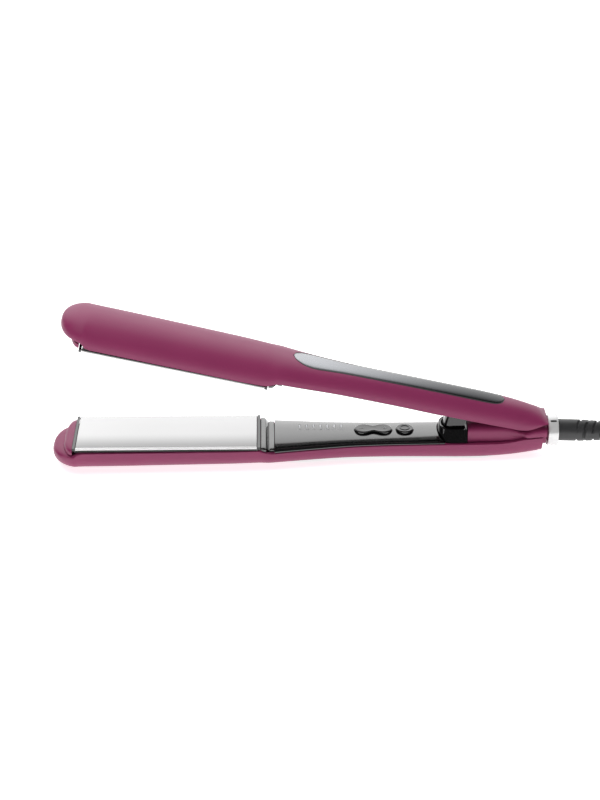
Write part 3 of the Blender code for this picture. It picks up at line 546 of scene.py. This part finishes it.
# Radius and layer of each turn, from the first laid to the last.
HANK_TURNS = [(26.5, 0), (20.0, 0), (20.0, 1), (26.5, 1), (26.5, 2), (20.0, 2), (20.0, 3), (26.5, 3)]
HANK_BASE = 1.4 + CORD_DIAMETER / 2
PLUG_X = 306.0
PLUG_Z = 34.55
PLUG_LENGTH = 47.5
PIN_Y = 9.3
ROUTE_STEP = 3.0
BEND_STEPS = 12
RUN_STEPS = 4


def hank_route():
    """Turns of the hank, changing column or layer while they go round its left end."""
    points = []
    right = HANK_LEFT + HANK_RUN
    for index, (radius, layer) in enumerate(HANK_TURNS):
        z = HANK_BASE + layer * CORD_DIAMETER
        points += [(x, -radius, z) for x in span(HANK_LEFT, right, RUN_STEPS)[:-1]]
        points += [(right + radius * math.cos(t), radius * math.sin(t), z)
                   for t in span(-math.pi / 2, math.pi / 2, BEND_STEPS)]
        if index == len(HANK_TURNS) - 1:
            break
        points += [(x, radius, z) for x in span(right, HANK_LEFT, RUN_STEPS)[1:-1]]
        next_radius, next_layer = HANK_TURNS[index + 1]
        next_z = HANK_BASE + next_layer * CORD_DIAMETER
        for i, t in enumerate(span(math.pi / 2, 3 * math.pi / 2, BEND_STEPS)[:-1]):
            blend = i / BEND_STEPS
            r = radius + (next_radius - radius) * blend
            points.append((HANK_LEFT + r * math.cos(t), r * math.sin(t), z + (next_z - z) * blend))
    return points


def smooth_route(points, spacing):
    """Dense smooth line through the points."""
    points = [Vector(p) for p in points]
    dense = []
    for i in range(len(points) - 1):
        p0, p1 = points[i], points[i + 1]
        before, after = points[max(i - 1, 0)], points[min(i + 2, len(points) - 1)]
        length = (p1 - p0).length
        m0 = (p1 - before) * (length / max((p1 - before).length, 1e-6))
        m1 = (after - p0) * (length / max((after - p0).length, 1e-6))
        count = max(int(length / spacing), 1)
        dense += [hermite(p0, p1, m0, m1, k / count) for k in range(count)]
    return dense + [points[-1]]


def table_point(x, y, z):
    """Point in millimetres in the cord's own frame, which lies flat on the table."""
    return Vector((x + ORIGIN_X, y, z)) * MM


def cord():
    """The mains cord and its length in metres."""
    route = smooth_route(LEAD_ROUTE + hank_route() + TAIL_ROUTE, ROUTE_STEP)
    curve = bpy.data.curves.new("mains_cord", 'CURVE')
    curve.dimensions = '3D'
    curve.bevel_depth = CORD_DIAMETER / 2 * MM
    curve.bevel_resolution = 5
    curve.use_fill_caps = True
    spline = curve.splines.new('POLY')
    spline.points.add(len(route) - 1)
    for target, point in zip(spline.points, route):
        target.co = tuple(table_point(*point)) + (1.0,)
    curve.materials.append(MATS["rubber"])
    made = add_object("mains_cord", curve)
    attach(made, "lower_arm")
    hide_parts("cord_lead", "cord_hank", "cord_tail")
    length = sum((b - a).length for a, b in zip(route, route[1:])) * MM
    return made, round(length, 2)


def cord_tie():
    """Strap round the hank, with rounded corners and edges."""
    side, top, low, wall = 30.05, 27.7, 1.1, 1.0
    rings = []
    for x, inset in ((357.0, 0.35), (357.4, 0.0), (366.6, 0.0), (367.0, 0.35)):
        r = wall - inset
        outline = []
        for cy, cz, start in ((side, top, 0), (-side, top, 90), (-side, low, 180), (side, low, 270)):
            for t in (math.radians(start + 22.5 * k) for k in range(5)):
                outline.append((cy + r * math.cos(t), cz + r * math.sin(t)))
        rings.append([table_point(x, y, z) for y, z in outline])
    made = piece("cord_strap", loft_mesh(rings), "black", "lower_arm", ["cord_tie"])
    corners = ((side, low), (side, top), (-side, top), (-side, low))
    boolean(made, loft_mesh([[table_point(x, y, z) for y, z in corners] for x in (350.0, 374.0)]))
    return dress(made, "black", None)


def plug():
    """Plug shell, ribbed where the cord enters, and its two pins."""
    levels = [(0.3, 4.2, 4.2), (0.8, 4.6, 4.6)]
    for k in range(4):
        x = 2.0 + 2.6 * k
        levels += [(x, 4.7, 4.7), (x + 0.3, 4.0, 4.0), (x + 1.0, 4.0, 4.0), (x + 1.3, 4.8, 4.8)]
    levels += [(12.4, 5.6, 5.2), (13.6, 8.4, 6.2), (15.5, 11.2, 6.6), (20.0, 13.9, 6.8), (30.0, 15.6, 6.85),
               (40.0, 17.0, 6.85), (46.0, 17.6, 6.85), (47.1, 17.3, 6.6), (47.5, 16.6, 6.0)]
    body = [[table_point(PLUG_X - x, half * power(math.cos(t), 0.7),
                         PLUG_Z + thick * power(math.sin(t), 0.7)) for t in turn(56)]
            for x, half, thick in levels]
    shell = piece("plug_shell", loft_mesh(body), "rubber", "lower_arm", ["plug_body"])
    made = [shell]
    start = PLUG_X - PLUG_LENGTH - GAP
    profile = [(0.0, 0.02), (0.0, 2.0), (-17.2, 2.0), (-18.2, 1.8), (-18.8, 1.3), (-19.0, 0.6),
               (-19.0, 0.02)]
    for name, y in (("plug_pin_a", PIN_Y), ("plug_pin_b", -PIN_Y)):
        rings = [[table_point(start + x, y + r * math.cos(t), PLUG_Z + r * math.sin(t)) for t in turn(32)]
                 for x, r in profile]
        made.append(piece(name + "_prong", loft_mesh(rings), "brass", "lower_arm", [name]))
    return made


# ---------------------------------------------------------------- shells

def shell_section(arm, u):
    a, mid, deep, rim = arm.half_width(u), arm.middle(u), arm.depth(u), arm.rim(u)
    points = arch(a, mid, deep, 2 / POWER, 56)
    flat = max(min(mid - rim, a * 0.9), 0.05)
    for t in span(0, math.pi, 12)[1:-1]:
        points.append((a * power(math.cos(t), 0.5), mid - flat * math.sin(t) ** 0.7))
    return points


def shell_stations(end):
    nose = [TIP_U + NOSE_LENGTH * (1 - math.cos(math.pi / 2 * i / 26)) for i in range(27)]
    return nose + span(-130.0, end, 150)


def cavity_section(arm, u):
    wall = smooth([(-141.5, 4.2), (-135, 2.6), (-127, WALL)], u)
    a, mid, deep = arm.half_width(u) - wall, arm.middle(u), arm.depth(u) - wall
    return arch(a, mid, deep, 2 / POWER, 36) + [(a, -8.0), (-a, -8.0)]


INLAY_U = (-10.9, 121.5)
INLAY_HALF = [(-10.9, 0.0), (-9.8, 3.4), (-7.6, 5.8), (-3.5, 8.1), (2, 8.9), (10, 8.2), (22, 7.2),
              (40, 6.8), (108, 6.9), (115, 6.5), (119, 4.8), (120.8, 2.6), (121.5, 0.0)]


def inlay_half(u):
    return smooth(INLAY_HALF, min(max(u, INLAY_U[0] + 0.12), INLAY_U[1] - 0.06))


def inlay_stations():
    front = [INLAY_U[0] + 22 * (1 - math.cos(math.pi / 2 * i / 16)) for i in range(17)]
    rear = [INLAY_U[1] - 8 * (1 - math.cos(math.pi / 2 * i / 10)) for i in range(10, -1, -1)]
    return front + span(front[-1], rear[0], 40)[1:-1] + rear


# The dark bed is painted shade: a flat dark band round the strip that stands in for the shadow in the
# groove.
def edge_line(half):
    """Outline of the dark bed that shows as a hairline round the inlay."""
    wide = half + 0.7
    across = [math.sin(math.pi / 2 * i / 8) for i in range(-8, 9)]
    top = [(wide * s, 0.1 if abs(wide * s) > half - 0.1 else -0.6) for s in across]
    return top + [(wide * s, -1.25) for s in reversed(across)]


def inlay(arm, shell):
    """Grip strip in a recess of the shell, on a dark bed."""
    def recess(u):
        half = inlay_half(u) + 0.8
        ys = span(-half, half, 12)
        outer = [(y, arm.surface(u, y) + 1.5) for y in ys]
        return outer + [(y, arm.surface(u, y) - 1.3) for y in reversed(ys)]

    def strip(u):
        half = inlay_half(u)
        across = [math.sin(math.pi / 2 * i / 10) for i in range(-10, 11)]
        top = []
        for s in across:
            round_off = 0.5 * (1 - abs(s) ** 6) ** 0.5
            top.append((half * s, arm.surface(u, half * s) - 0.3 + round_off))
        return top + [(half * s, arm.surface(u, half * s) - 0.9) for s in reversed(across)]

    stations = inlay_stations()
    boolean(shell, loft_mesh(arm_rings(arm, [INLAY_U[0] - GAP] + stations + [INLAY_U[1] + GAP], recess)))
    # The strip wears the inlay finish with its painted reflection; the lower strip is dressed in plain
    # gunmetal further on.
    piece(arm.name + "_inlay_strip", loft_mesh(arm_rings(arm, stations, strip)), "inlay", arm.body,
          [arm.name + "_grip_inlay"])

    # Dark band round the strip at the skin's level, painted shade for the groove between strip and shell.
    def bed(u):
        return [(y, arm.surface(u, y) + lift) for y, lift in edge_line(inlay_half(u))]

    piece(arm.name + "_inlay_shade_band", loft_mesh(arm_rings(arm, stations, bed)), "rubber", arm.body, ())


def below_ground():
    """Block whose top is the ground, to cut the resting flats."""
    ground = bmesh.new()
    place = Matrix.Translation((0, 0, -0.01)) @ Matrix.Diagonal((0.6, 0.2, 0.02, 1))
    bmesh.ops.create_cube(ground, size=1.0, matrix=place)
    return ground


def outer_shell(arm):
    end = SHELL_END[arm.name]
    made = piece(arm.name + "_shell",
                 loft_mesh(arm_rings(arm, shell_stations(end), lambda u: shell_section(arm, u))),
                 "plum", arm.body, [arm.name + "_outer_shell"])
    stations = [-141.5, -140, -138, -136, -133, -130] + span(-127, end + 4, 60)
    boolean(made, loft_mesh(arm_rings(arm, stations, lambda u: cavity_section(arm, u))))
    inlay(arm, made)
    if arm is LOWER:
        strip = bpy.data.objects["lower_inlay_strip"]
        boolean(made, below_ground())
        boolean(strip, below_ground())
        dress(strip, "gunmetal", None)
    dress(made, "plum", None)


# ---------------------------------------------------------------- front of an arm

def tip_frame(arm):
    """Raised crescent between the nose and the plate."""
    end, length = -138.2, 6.4

    def section(u):
        half = 20.6 * math.sqrt(max(1 - ((end - u) / length) ** 2, 0.0))
        crest = smooth([(-144.4, 4.4), (-143.6, 3.0), (-142.4, 1.9), (-140.6, 1.2), (end, 0.9)], u)
        return arch(half, 4.8, crest, 0.45, 40) + [(half, 5.0), (-half, 5.0)]

    stations = [-144.4, -144.3, -144.1, -143.8, -143.4, -143.0, -142.5, -141.9, -141.2, -140.4, -139.4, end]
    piece(arm.name + "_crescent", loft_mesh(arm_rings(arm, stations, section)), "plum", arm.body,
          [arm.name + "_tip_frame"])


def plate_seal(arm):
    """Black rails along the plate and bars at its ends."""
    u0, u1 = PLATE_U
    half = SEAL_HALF[arm.name]
    made = piece(arm.name + "_seal", box_mesh(arm, (u0 - 0.5, u1 + 0.5), (-half, half), (1.8, 2.08)),
                 "black", arm.body, [arm.name + "_plate_seal"])
    boolean(made, box_mesh(arm, (u0 - GAP, u1 + GAP), (-20.0, 20.0), (0.0, 6.0)))
    for start, stop in ((u0 - 1.9, u0 - GAP), (u1 + GAP, u1 + 2.1)):
        boolean(made, box_mesh(arm, (start, stop), (-20.9, 20.9), (0.35, 2.09)), 'UNION')
    soften(dress(made, "black", None), 0.18, 3)


def plate(arm):
    """Flat polished face with rolled long edges."""
    half = [(19.5, 3.4), (19.5, 1.4), (21.35, 1.38)]
    for t in span(0, math.pi / 2, 10):
        half.append((19.9 + 1.5 * math.cos(t) ** 0.9, 1.2 - 1.0 * math.sin(t) ** 0.9))
    outline = half + [(-y, d) for y, d in reversed(half)]
    u0, u1 = PLATE_U
    stations = [u0, u0 + 0.12, u0 + 0.3] + span(u0 + 1, u1 - 1, 20) + [u1 - 0.3, u1 - 0.12, u1]

    def section(u):
        edge = min(u - u0, u1 - u)
        drop = 0.25 * (1 - min(edge / 0.3, 1.0)) ** 2
        return [(y, d + drop if d < 1.0 else d) for y, d in outline]

    made = piece(arm.name + "_plate_face", loft_mesh(arm_rings(arm, stations, section)), "titanium",
                 arm.name + "_plate_carrier", [arm.name + "_plate"], 50.0)
    # The rolled long edges take the glowing edge finish, a painted highlight.
    made.data.materials.append(MATS["edge"])
    for face in made.data.polygons:
        if abs(face.center.y) > PLATE_EDGE_Y * MM:
            face.material_index = 1


def heat_collar(arm):
    """Stepped block behind the plate: levels are (u, half width, crest, bulge)."""
    levels = [(-23.5, 20.5, 1.5, 0), (-23.35, 20.65, 1.25, 0), (-23.0, 20.7, 1.2, 0), (-21.3, 20.7, 1.2, 0),
              (-20.9, 20.6, 1.3, 0), (-20.4, 20.2, 1.7, 0), (-19.6, 19.3, 2.6, 0), (-19.2, 18.8, 3.0, 0),
              (-19.0, 18.5, 3.4, 0), (-18.7, 18.2, 3.6, 0), (-18.5, 18.2, 3.6, 0), (-18.4, 18.3, 3.1, 0.1),
              (-18.2, 18.6, 2.9, 0.2), (-16.9, 18.5, 2.75, 0.7), (-15.7, 18.3, 2.65, 1.2),
              (-15.45, 18.2, 2.8, 1.3)]

    def ring(level):
        u, half, crest, bulge = level
        edge = arm.rim(u) - GAP
        points = arch(half, edge - 0.4, crest, 0.4, 60) + [(half, edge), (-half, edge)]
        return [arm.at(u + min(bulge, 0.25) * (1 - (y / half) ** 2), y, d) for y, d in points]

    piece(arm.name + "_collar", loft_mesh([ring(level) for level in levels]), "panel", arm.body,
          [arm.name + "_heat_collar"], 30.0)


# ---------------------------------------------------------------- handle panel and controls

THROUGH = (-6.0, 6.0)
LED_US = [LED_FIRST_U + i * LED_PITCH for i in range(LED_COUNT)]
LED_TEMPERATURES = (150, 160, 170, 180, 200, 210, 220)
MARK_OFFSET = 7.2
MARK_LENGTH = 2.6
MARK_WIDTH = 0.55


def cover_section(arm, u):
    crest, edge = 0.4, arm.rim(u) - GAP
    if arm is LOWER:
        half = arm.half_width(u) - 0.3
        upper = arch(half, edge - 0.05, crest, 0.85, 56)
    else:
        half = arm.half_width(u) - 1.2
        upper = [(-half * math.cos(t), edge - 0.1 - (edge - 0.1 - crest) * (1 - abs(math.cos(t)) ** 1.8))
                 for t in span(0, math.pi, 56)]
    under = arch(WALL - half, edge, crest + 2.6, 2 / 3, 24)
    return upper + [(half, edge)] + under[1:-1] + [(-half, edge)]


def rocker_outline(grow=0.0):
    """Figure of eight: an oval of Cassini, grown outwards for the opening round it."""
    a2 = (ROCKER_HALF ** 2 + ROCKER_WAIST ** 2) / 2
    c2 = (ROCKER_HALF ** 2 - ROCKER_WAIST ** 2) / 2
    points = []
    for t in turn(96):
        r = math.sqrt(c2 * math.cos(2 * t) + math.sqrt(a2 ** 2 - (c2 * math.sin(2 * t)) ** 2))
        points.append((ROCKER_U + (r + grow) * math.cos(t), 1.2 * (r + grow * 1.4) * math.sin(t)))
    return points


def circle(radius, u, y=0.0, count=64):
    return [(u + radius * math.cos(t), y + radius * math.sin(t)) for t in turn(count)]


def cup_outline(front, half, back=102.6, count=40):
    """Outline with a square back and a round front."""
    centre = WELL_U
    nose = [(centre - (centre - front) * math.cos(t) ** 0.8, half * power(math.sin(t), 0.9))
            for t in span(-math.pi / 2, math.pi / 2, count)[1:-1]]
    return [(back, -half), (centre, -half)] + nose + [(centre, half), (back, half)]


def window_box(u, half, depths):
    return box_mesh(LOWER, (u - half[0], u + half[0]), (LED_Y - half[1], LED_Y + half[1]), depths)


def lower_cover():
    """Control panel with openings for the rocker, the power button, the windows and the spring cup."""
    arm = LOWER
    made = piece("control_panel",
                 loft_mesh(arm_rings(arm, span(-15.0, 101.8, 92), lambda u: cover_section(arm, u))),
                 "panel", arm.body, ["lower_inner_cover"])
    boolean(made, prism(arm, rocker_outline(0.35), *THROUGH))
    boolean(made, prism(arm, circle(POWER_RADIUS + GAP, POWER_U), *THROUGH))
    for u in LED_US:
        boolean(made, window_box(u, WINDOW_CUT_HALF, THROUGH))
    boolean(made, prism(arm, cup_outline(84.8, 16.0), -6.0, 8.0))
    dress(made, "panel", None)


def upper_cover():
    arm = UPPER
    made = piece("upper_panel",
                 loft_mesh(arm_rings(arm, span(-15.0, 84.4, 60), lambda u: cover_section(arm, u))),
                 "panel", arm.body, ["upper_inner_cover"])
    boolean(made, box_mesh(arm, (31.0, 73.0), (-7.6, 7.6), (-3.0, 2.2)))
    dress(made, "panel", None)


def button(name, outline, centre, body):
    """Cap with a crowned top: levels are (share of the outline, depth)."""
    cu, cy = centre
    levels = [(0.30, -1.06), (0.60, -1.12), (0.80, -1.18), (0.88, -1.2), (0.94, -1.14), (0.98, -0.95),
              (1.0, -0.6), (1.0, 4.4)]
    rings = [[LOWER.at(cu + (u - cu) * f, cy + (y - cy) * f, d) for u, y in outline] for f, d in levels]
    piece(name + "_cap", loft_mesh(rings), "black", body, [name], 60.0)


def controls():
    button("temperature_rocker", rocker_outline(), (ROCKER_U, 0.0), "temperature_rocker")
    button("power_button", circle(POWER_RADIUS, POWER_U), (POWER_U, 0.0), "power_button")
    ring = [(2.5, -1.0), (2.5, -1.32), (2.7, -1.45), (2.95, -1.45), (3.15, -1.32), (3.15, -1.0)]
    rings = [[LOWER.at(POWER_U + r * math.cos(t), r * math.sin(t), d) for r, d in ring] for t in turn(64)]
    piece("power_ring", loft_mesh(rings, closed=True), "gunmetal", "power_button", ())
    long = (-MARK_LENGTH / 2, MARK_LENGTH / 2)
    short = (-MARK_WIDTH / 2, MARK_WIDTH / 2)
    depths = (-1.3, -0.9)
    for name, u, crossed in (("minus_mark", ROCKER_U - MARK_OFFSET, False),
                             ("plus_mark", ROCKER_U + MARK_OFFSET, True)):
        bar = piece(name, box_mesh(LOWER, (u + long[0], u + long[1]), short, depths),
                    "print", "temperature_rocker", ())
        if crossed:
            boolean(bar, box_mesh(LOWER, (u + short[0], u + short[1]), long, depths), 'UNION')
            dress(bar, "print", None)
        soften(bar, 0.08)
    for i, (u, temperature) in enumerate(zip(LED_US, LED_TEMPERATURES)):
        # The windows wear the faintly glowing lens finish, painted light.
        made = piece("window_%d" % (i + 1), window_box(u, WINDOW_HALF, (0.62, 5.2)), "clear", "lower_arm",
                     ["led_light_guide"] if i == 0 else ())
        soften(made, 0.2, 3)
        number(str(temperature), u, LED_Y - 4.6)


def number(text, u, y):
    """Small printed number beside its window, readable from the near side."""
    data = bpy.data.curves.new("label", 'FONT')
    data.body = text
    data.size = 1.9 * MM
    data.extrude = 0.02 * MM
    data.align_x = 'CENTER'
    data.align_y = 'CENTER'
    source = add_object("label", data)
    mesh = evaluated_mesh(source)
    bpy.data.objects.remove(source)
    half, top = LOWER.half_width(u) - 0.5, LOWER.rim(u) - GAP - 0.8
    for vertex in mesh.vertices:
        at_u, at_y = u + vertex.co.x / MM, y + vertex.co.y / MM
        across = min(abs(at_y) / half, 1.0)
        surface = top - (top - 0.4) * (1 - across ** 3) ** (1 / 3)
        vertex.co = LOWER.at(at_u, at_y, surface - 0.02 - vertex.co.z / MM)
    dress(add_object("label_" + text, mesh), "print", "lower_arm", ())


# ---------------------------------------------------------------- hinge end

def hinge_block():
    """Block that carries the hinge pin between the ears of the upper arm, with the neck behind it."""
    arm = LOWER

    def section(u):
        blend = min(max((u - 136.0) / 4.0, 0.0), 1.0)
        blend = blend * blend * (3 - 2 * blend)
        flush = arm.half_width(u) - 0.1
        narrow = smooth([(103, 10.8), (124, 10.7), (134, 10.0), (140, 9.6)], u)
        upper = narrow + (flush - narrow) * blend
        lower = min(10.6, flush - WALL - 0.3)
        crest = smooth([(103.0, 6.4), (105.4, 7.0), (124, 6.8), (132, 4.8), (136, 2.8), (138, 3.1),
                        (140, 3.8), (143, 4.8), (151.6, 5.0)], u)
        base = min(8.5, arm.depth(u) - WALL - 0.6)
        split = 0.4 * blend
        return arch(upper, split, -crest, 0.5, 44) + arch(-lower, split, base, 0.67, 24)

    stations = [103.0, 103.15, 103.5, 104.2, 105.4] + span(107, 134, 14) + span(135, 151.0, 24)
    stations += [151.4, 151.6]
    made = piece("hinge_housing", loft_mesh(arm_rings(arm, stations, section)), "plum", arm.body,
                 ["hinge_block"])
    axis = GROUND @ moved(0, 0, RING_W)
    boolean(made, turned(axis, [(150.5, 0.02), (150.5, 6.4), (152.6, 6.4), (152.6, 8.6), (157.9, 8.6),
                                (157.9, 0.02)]), 'UNION')
    boolean(made, turned(axis, [(153.2, 0.02), (153.2, 5.7), (161, 5.7), (161, 0.02)]))
    boolean(made, box_mesh(arm, (126.5, 148.0), (-5.1, 5.1), (-12.0, 4.8)))
    bore = [[arm.at(u, y, d - HINGE_W) for u, d in circle(1.8, HINGE_U, 0.0, 40)] for y in (-9.4, 9.4)]
    boolean(made, loft_mesh(bore))
    dress(made, "plum", None)


def spring_cup():
    """Cup on the lower arm and post on the upper one, with the spring between them.

    Levels are (depth, front end, half width)."""
    levels = [(-4.35, 86.4, 8.7), (-4.6, 86.05, 9.1), (-4.7, 85.9, 9.25), (-4.55, 85.75, 9.4),
              (-4.0, 85.7, 9.6), (-2.0, 85.5, 10.4), (0.0, 85.4, 11.4), (1.6, 85.2, 12.4),
              (2.6, 85.1, 13.2), (2.7, 86.5, 11.4), (7.0, 86.7, 11.0), (10.2, 87.1, 8.9)]
    rings = [[LOWER.at(u, y, d) for u, y in cup_outline(front, half)] for d, front, half in levels]
    made = piece("spring_housing", loft_mesh(rings), "black", "lower_arm", ["spring_cup"],
                 40.0)
    boolean(made, prism(LOWER, cup_outline(87.2, 8.1, 101.6), -8.0, 9.2))
    dress(made, "black", None)
    levels = [(-8.6, 89.5, 6.1), (-8.5, 89.1, 6.5), (-8.1, 88.8, 6.8), (8.5, 88.8, 6.8)]
    rings = [[UPPER.at(u, y, d) for u, y in cup_outline(front, half, 101.0)] for d, front, half in levels]
    tube = piece("spring_tube", loft_mesh(rings), "black", "upper_arm", ["spring_post"], 40.0)
    boolean(tube, box_mesh(UPPER, (85.2, 102.7), (-10.2, 10.2), (6.5, 9.2)), 'UNION')
    boolean(tube, post(UPPER, WELL_U, 0.0, [(5.2, -12.0), (5.2, 8.0)]))
    dress(tube, "black", None)


def opening_spring():
    """Coil that stands square on the cup and leans by the open angle where it meets the post."""
    turns, per_turn, radius, wire, length = 8, 32, 3.0, 0.42, 27.0
    whole_lean = math.radians(OPEN_DEG)
    bend = length / whole_lean
    rings = []
    for i in range(turns * per_turn + 1):
        lean = whole_lean * i / (turns * per_turn)
        centre = Vector((WELL_U + bend * (1 - math.cos(lean)), 0.0, -8.4 + bend * math.sin(lean)))
        across = Vector((math.cos(lean), 0.0, -math.sin(lean)))
        along = Vector((math.sin(lean), 0.0, math.cos(lean)))
        phase = 2 * math.pi * i / per_turn
        out = across * math.cos(phase) + Vector((0.0, 1.0, 0.0)) * math.sin(phase)
        middle = centre + out * radius
        rings.append([GROUND @ ((middle + out * wire * math.cos(s) + along * wire * math.sin(s)) * MM)
                      for s in turn(10)])
    made = piece("coil_spring", loft_mesh(rings), "steel", None)
    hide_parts("opening_spring")
    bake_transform(made)


def lock_ring():
    """Plated ring with rounded edges, and the short index mark on it."""
    axis = GROUND @ moved(RING_U, 0, RING_W)
    edge = [(0.0, 0.55), (0.06, 0.38), (0.25, 0.22), (0.7, 0.1), (1.6, 0.03)]
    barrel = [(0.0, 8.95)] + [(x, RING_RADIUS - drop) for x, drop in edge]
    barrel += [(RING_WIDTH - x, RING_RADIUS - drop) for x, drop in reversed(edge)]
    barrel += [(RING_WIDTH, 6.9), (RING_WIDTH - 0.8, 6.9), (RING_WIDTH - 0.8, 8.95)]
    piece("twist_ring", turned(axis, barrel, 128), "silver", "lock_ring", ["lock_ring"], 45.0)
    angles = [math.radians(30) + y / RING_RADIUS for y in span(-0.55, 0.55, 8)]
    bm = bmesh.new()
    grid = [[bm.verts.new(axis @ (Vector((x, -math.sin(a) * reach, math.cos(a) * reach)) * MM))
             for a in angles]
            for x in (1.3, 5.0) for reach in (RING_RADIUS - 0.1, RING_RADIUS + 0.06)]
    low0, high0, low1, high1 = grid
    for first, second in ((low0, high0), (high0, high1), (high1, low1), (low1, low0)):
        for i in range(len(angles) - 1):
            bm.faces.new((first[i], first[i + 1], second[i + 1], second[i]))
    for i in (0, -1):
        bm.faces.new((low0[i], high0[i], high1[i], low1[i]))
    piece("ring_index", bm, "black", "lock_ring", ())


def strain_relief():
    """Tapered sleeve with slanted grooves pressed round its outer half."""
    joint = next(j for j in frame["joints"] if j["name"] == "cord_swivel")
    direction = Vector(joint["axis"]).normalized()
    up = Vector((0, 0, 1))
    side = up.cross(direction).normalized()
    up = direction.cross(side)
    axis = Matrix((direction, side, up)).transposed().to_4x4()
    axis.translation = Vector(joint["pos_m"])
    outline = [(GAP, 6.7), (12.0, 6.7), (22.0, 6.3), (36.0, 5.2), (RELIEF_LENGTH, 4.3)]

    def radius(x, t):
        base = smooth(outline, x)
        if x < GROOVE_START or x > GROOVE_END:
            return base
        phase = (x - GROOVE_START) / GROOVE_PITCH - GROOVE_SLANT * math.cos(t)
        number_from_start = math.floor(phase)
        groove = min(abs(phase - number_from_start - 0.5) / 0.17, 1.0)
        facing = abs(math.sin(t + math.pi / 2 * (number_from_start % 2)))
        gate = min(max((facing - 0.18) / 0.1, 0.0), 1.0)
        fade = min((x - GROOVE_START) / 1.5, (GROOVE_END - x) / 1.5, 1.0)
        return base - GROOVE_DEPTH * (1 - groove ** 2) * gate * fade

    angles = turn(72)

    def ring(x, radii):
        return [axis @ (Vector((x, r * math.cos(t), r * math.sin(t))) * MM) for t, r in zip(angles, radii)]

    def round_rings(profile):
        return [ring(x, [r] * len(angles)) for x, r in profile]

    rings = round_rings([(-5.6, 4.5), (-5.3, 4.7), (GAP, 4.7), (GAP + 0.01, 6.35), (GAP + 0.35, 6.7)])
    rings += [ring(x, [radius(x, t) for t in angles]) for x in span(1.2, RELIEF_LENGTH - 0.7, 150)]
    rings += round_rings([(RELIEF_LENGTH - 0.3, 4.2), (RELIEF_LENGTH, 3.8)])
    piece("cord_sleeve", loft_mesh(rings), "rubber", "strain_relief", ["strain_relief"], 30.0)


# ---------------------------------------------------------------- carried-over CAD nodes

CARRIED = {
    "steel": ["lower_heater_clamp", "upper_heater_clamp", "minus_switch", "plus_switch", "power_switch",
              "board_screw_front", "board_screw_rear", "hinge_pin", "post_screw_near", "post_screw_far",
              "upper_thermal_fuse"],
    "ceramic": ["lower_heater", "upper_heater", "lower_thermistor"],
    "rubber": ["lower_pad_front", "lower_pad_rear", "upper_pad_front", "upper_pad_rear"],
    "board": ["control_board"],
    "gunmetal": ["upper_hinge_lug"],
}


def carried_nodes():
    """Finishes for the CAD pieces that are shown as they are."""
    for mat, names in CARRIED.items():
        for name in names:
            node = frame["nodes"][name]
            node.data.materials.clear()
            node.data.materials.append(MATS[mat])


# ---------------------------------------------------------------- the whole scene

look()
studio()
mains, cord_length = cord()
strap = cord_tie()
plug_pieces = plug()
for each in (LOWER, UPPER):
    outer_shell(each)
for each in (LOWER, UPPER):
    tip_frame(each)
    plate_seal(each)
    plate(each)
    heat_collar(each)
lower_cover()
upper_cover()
controls()
hinge_block()
spring_cup()
opening_spring()
lock_ring()
strain_relief()
carried_nodes()
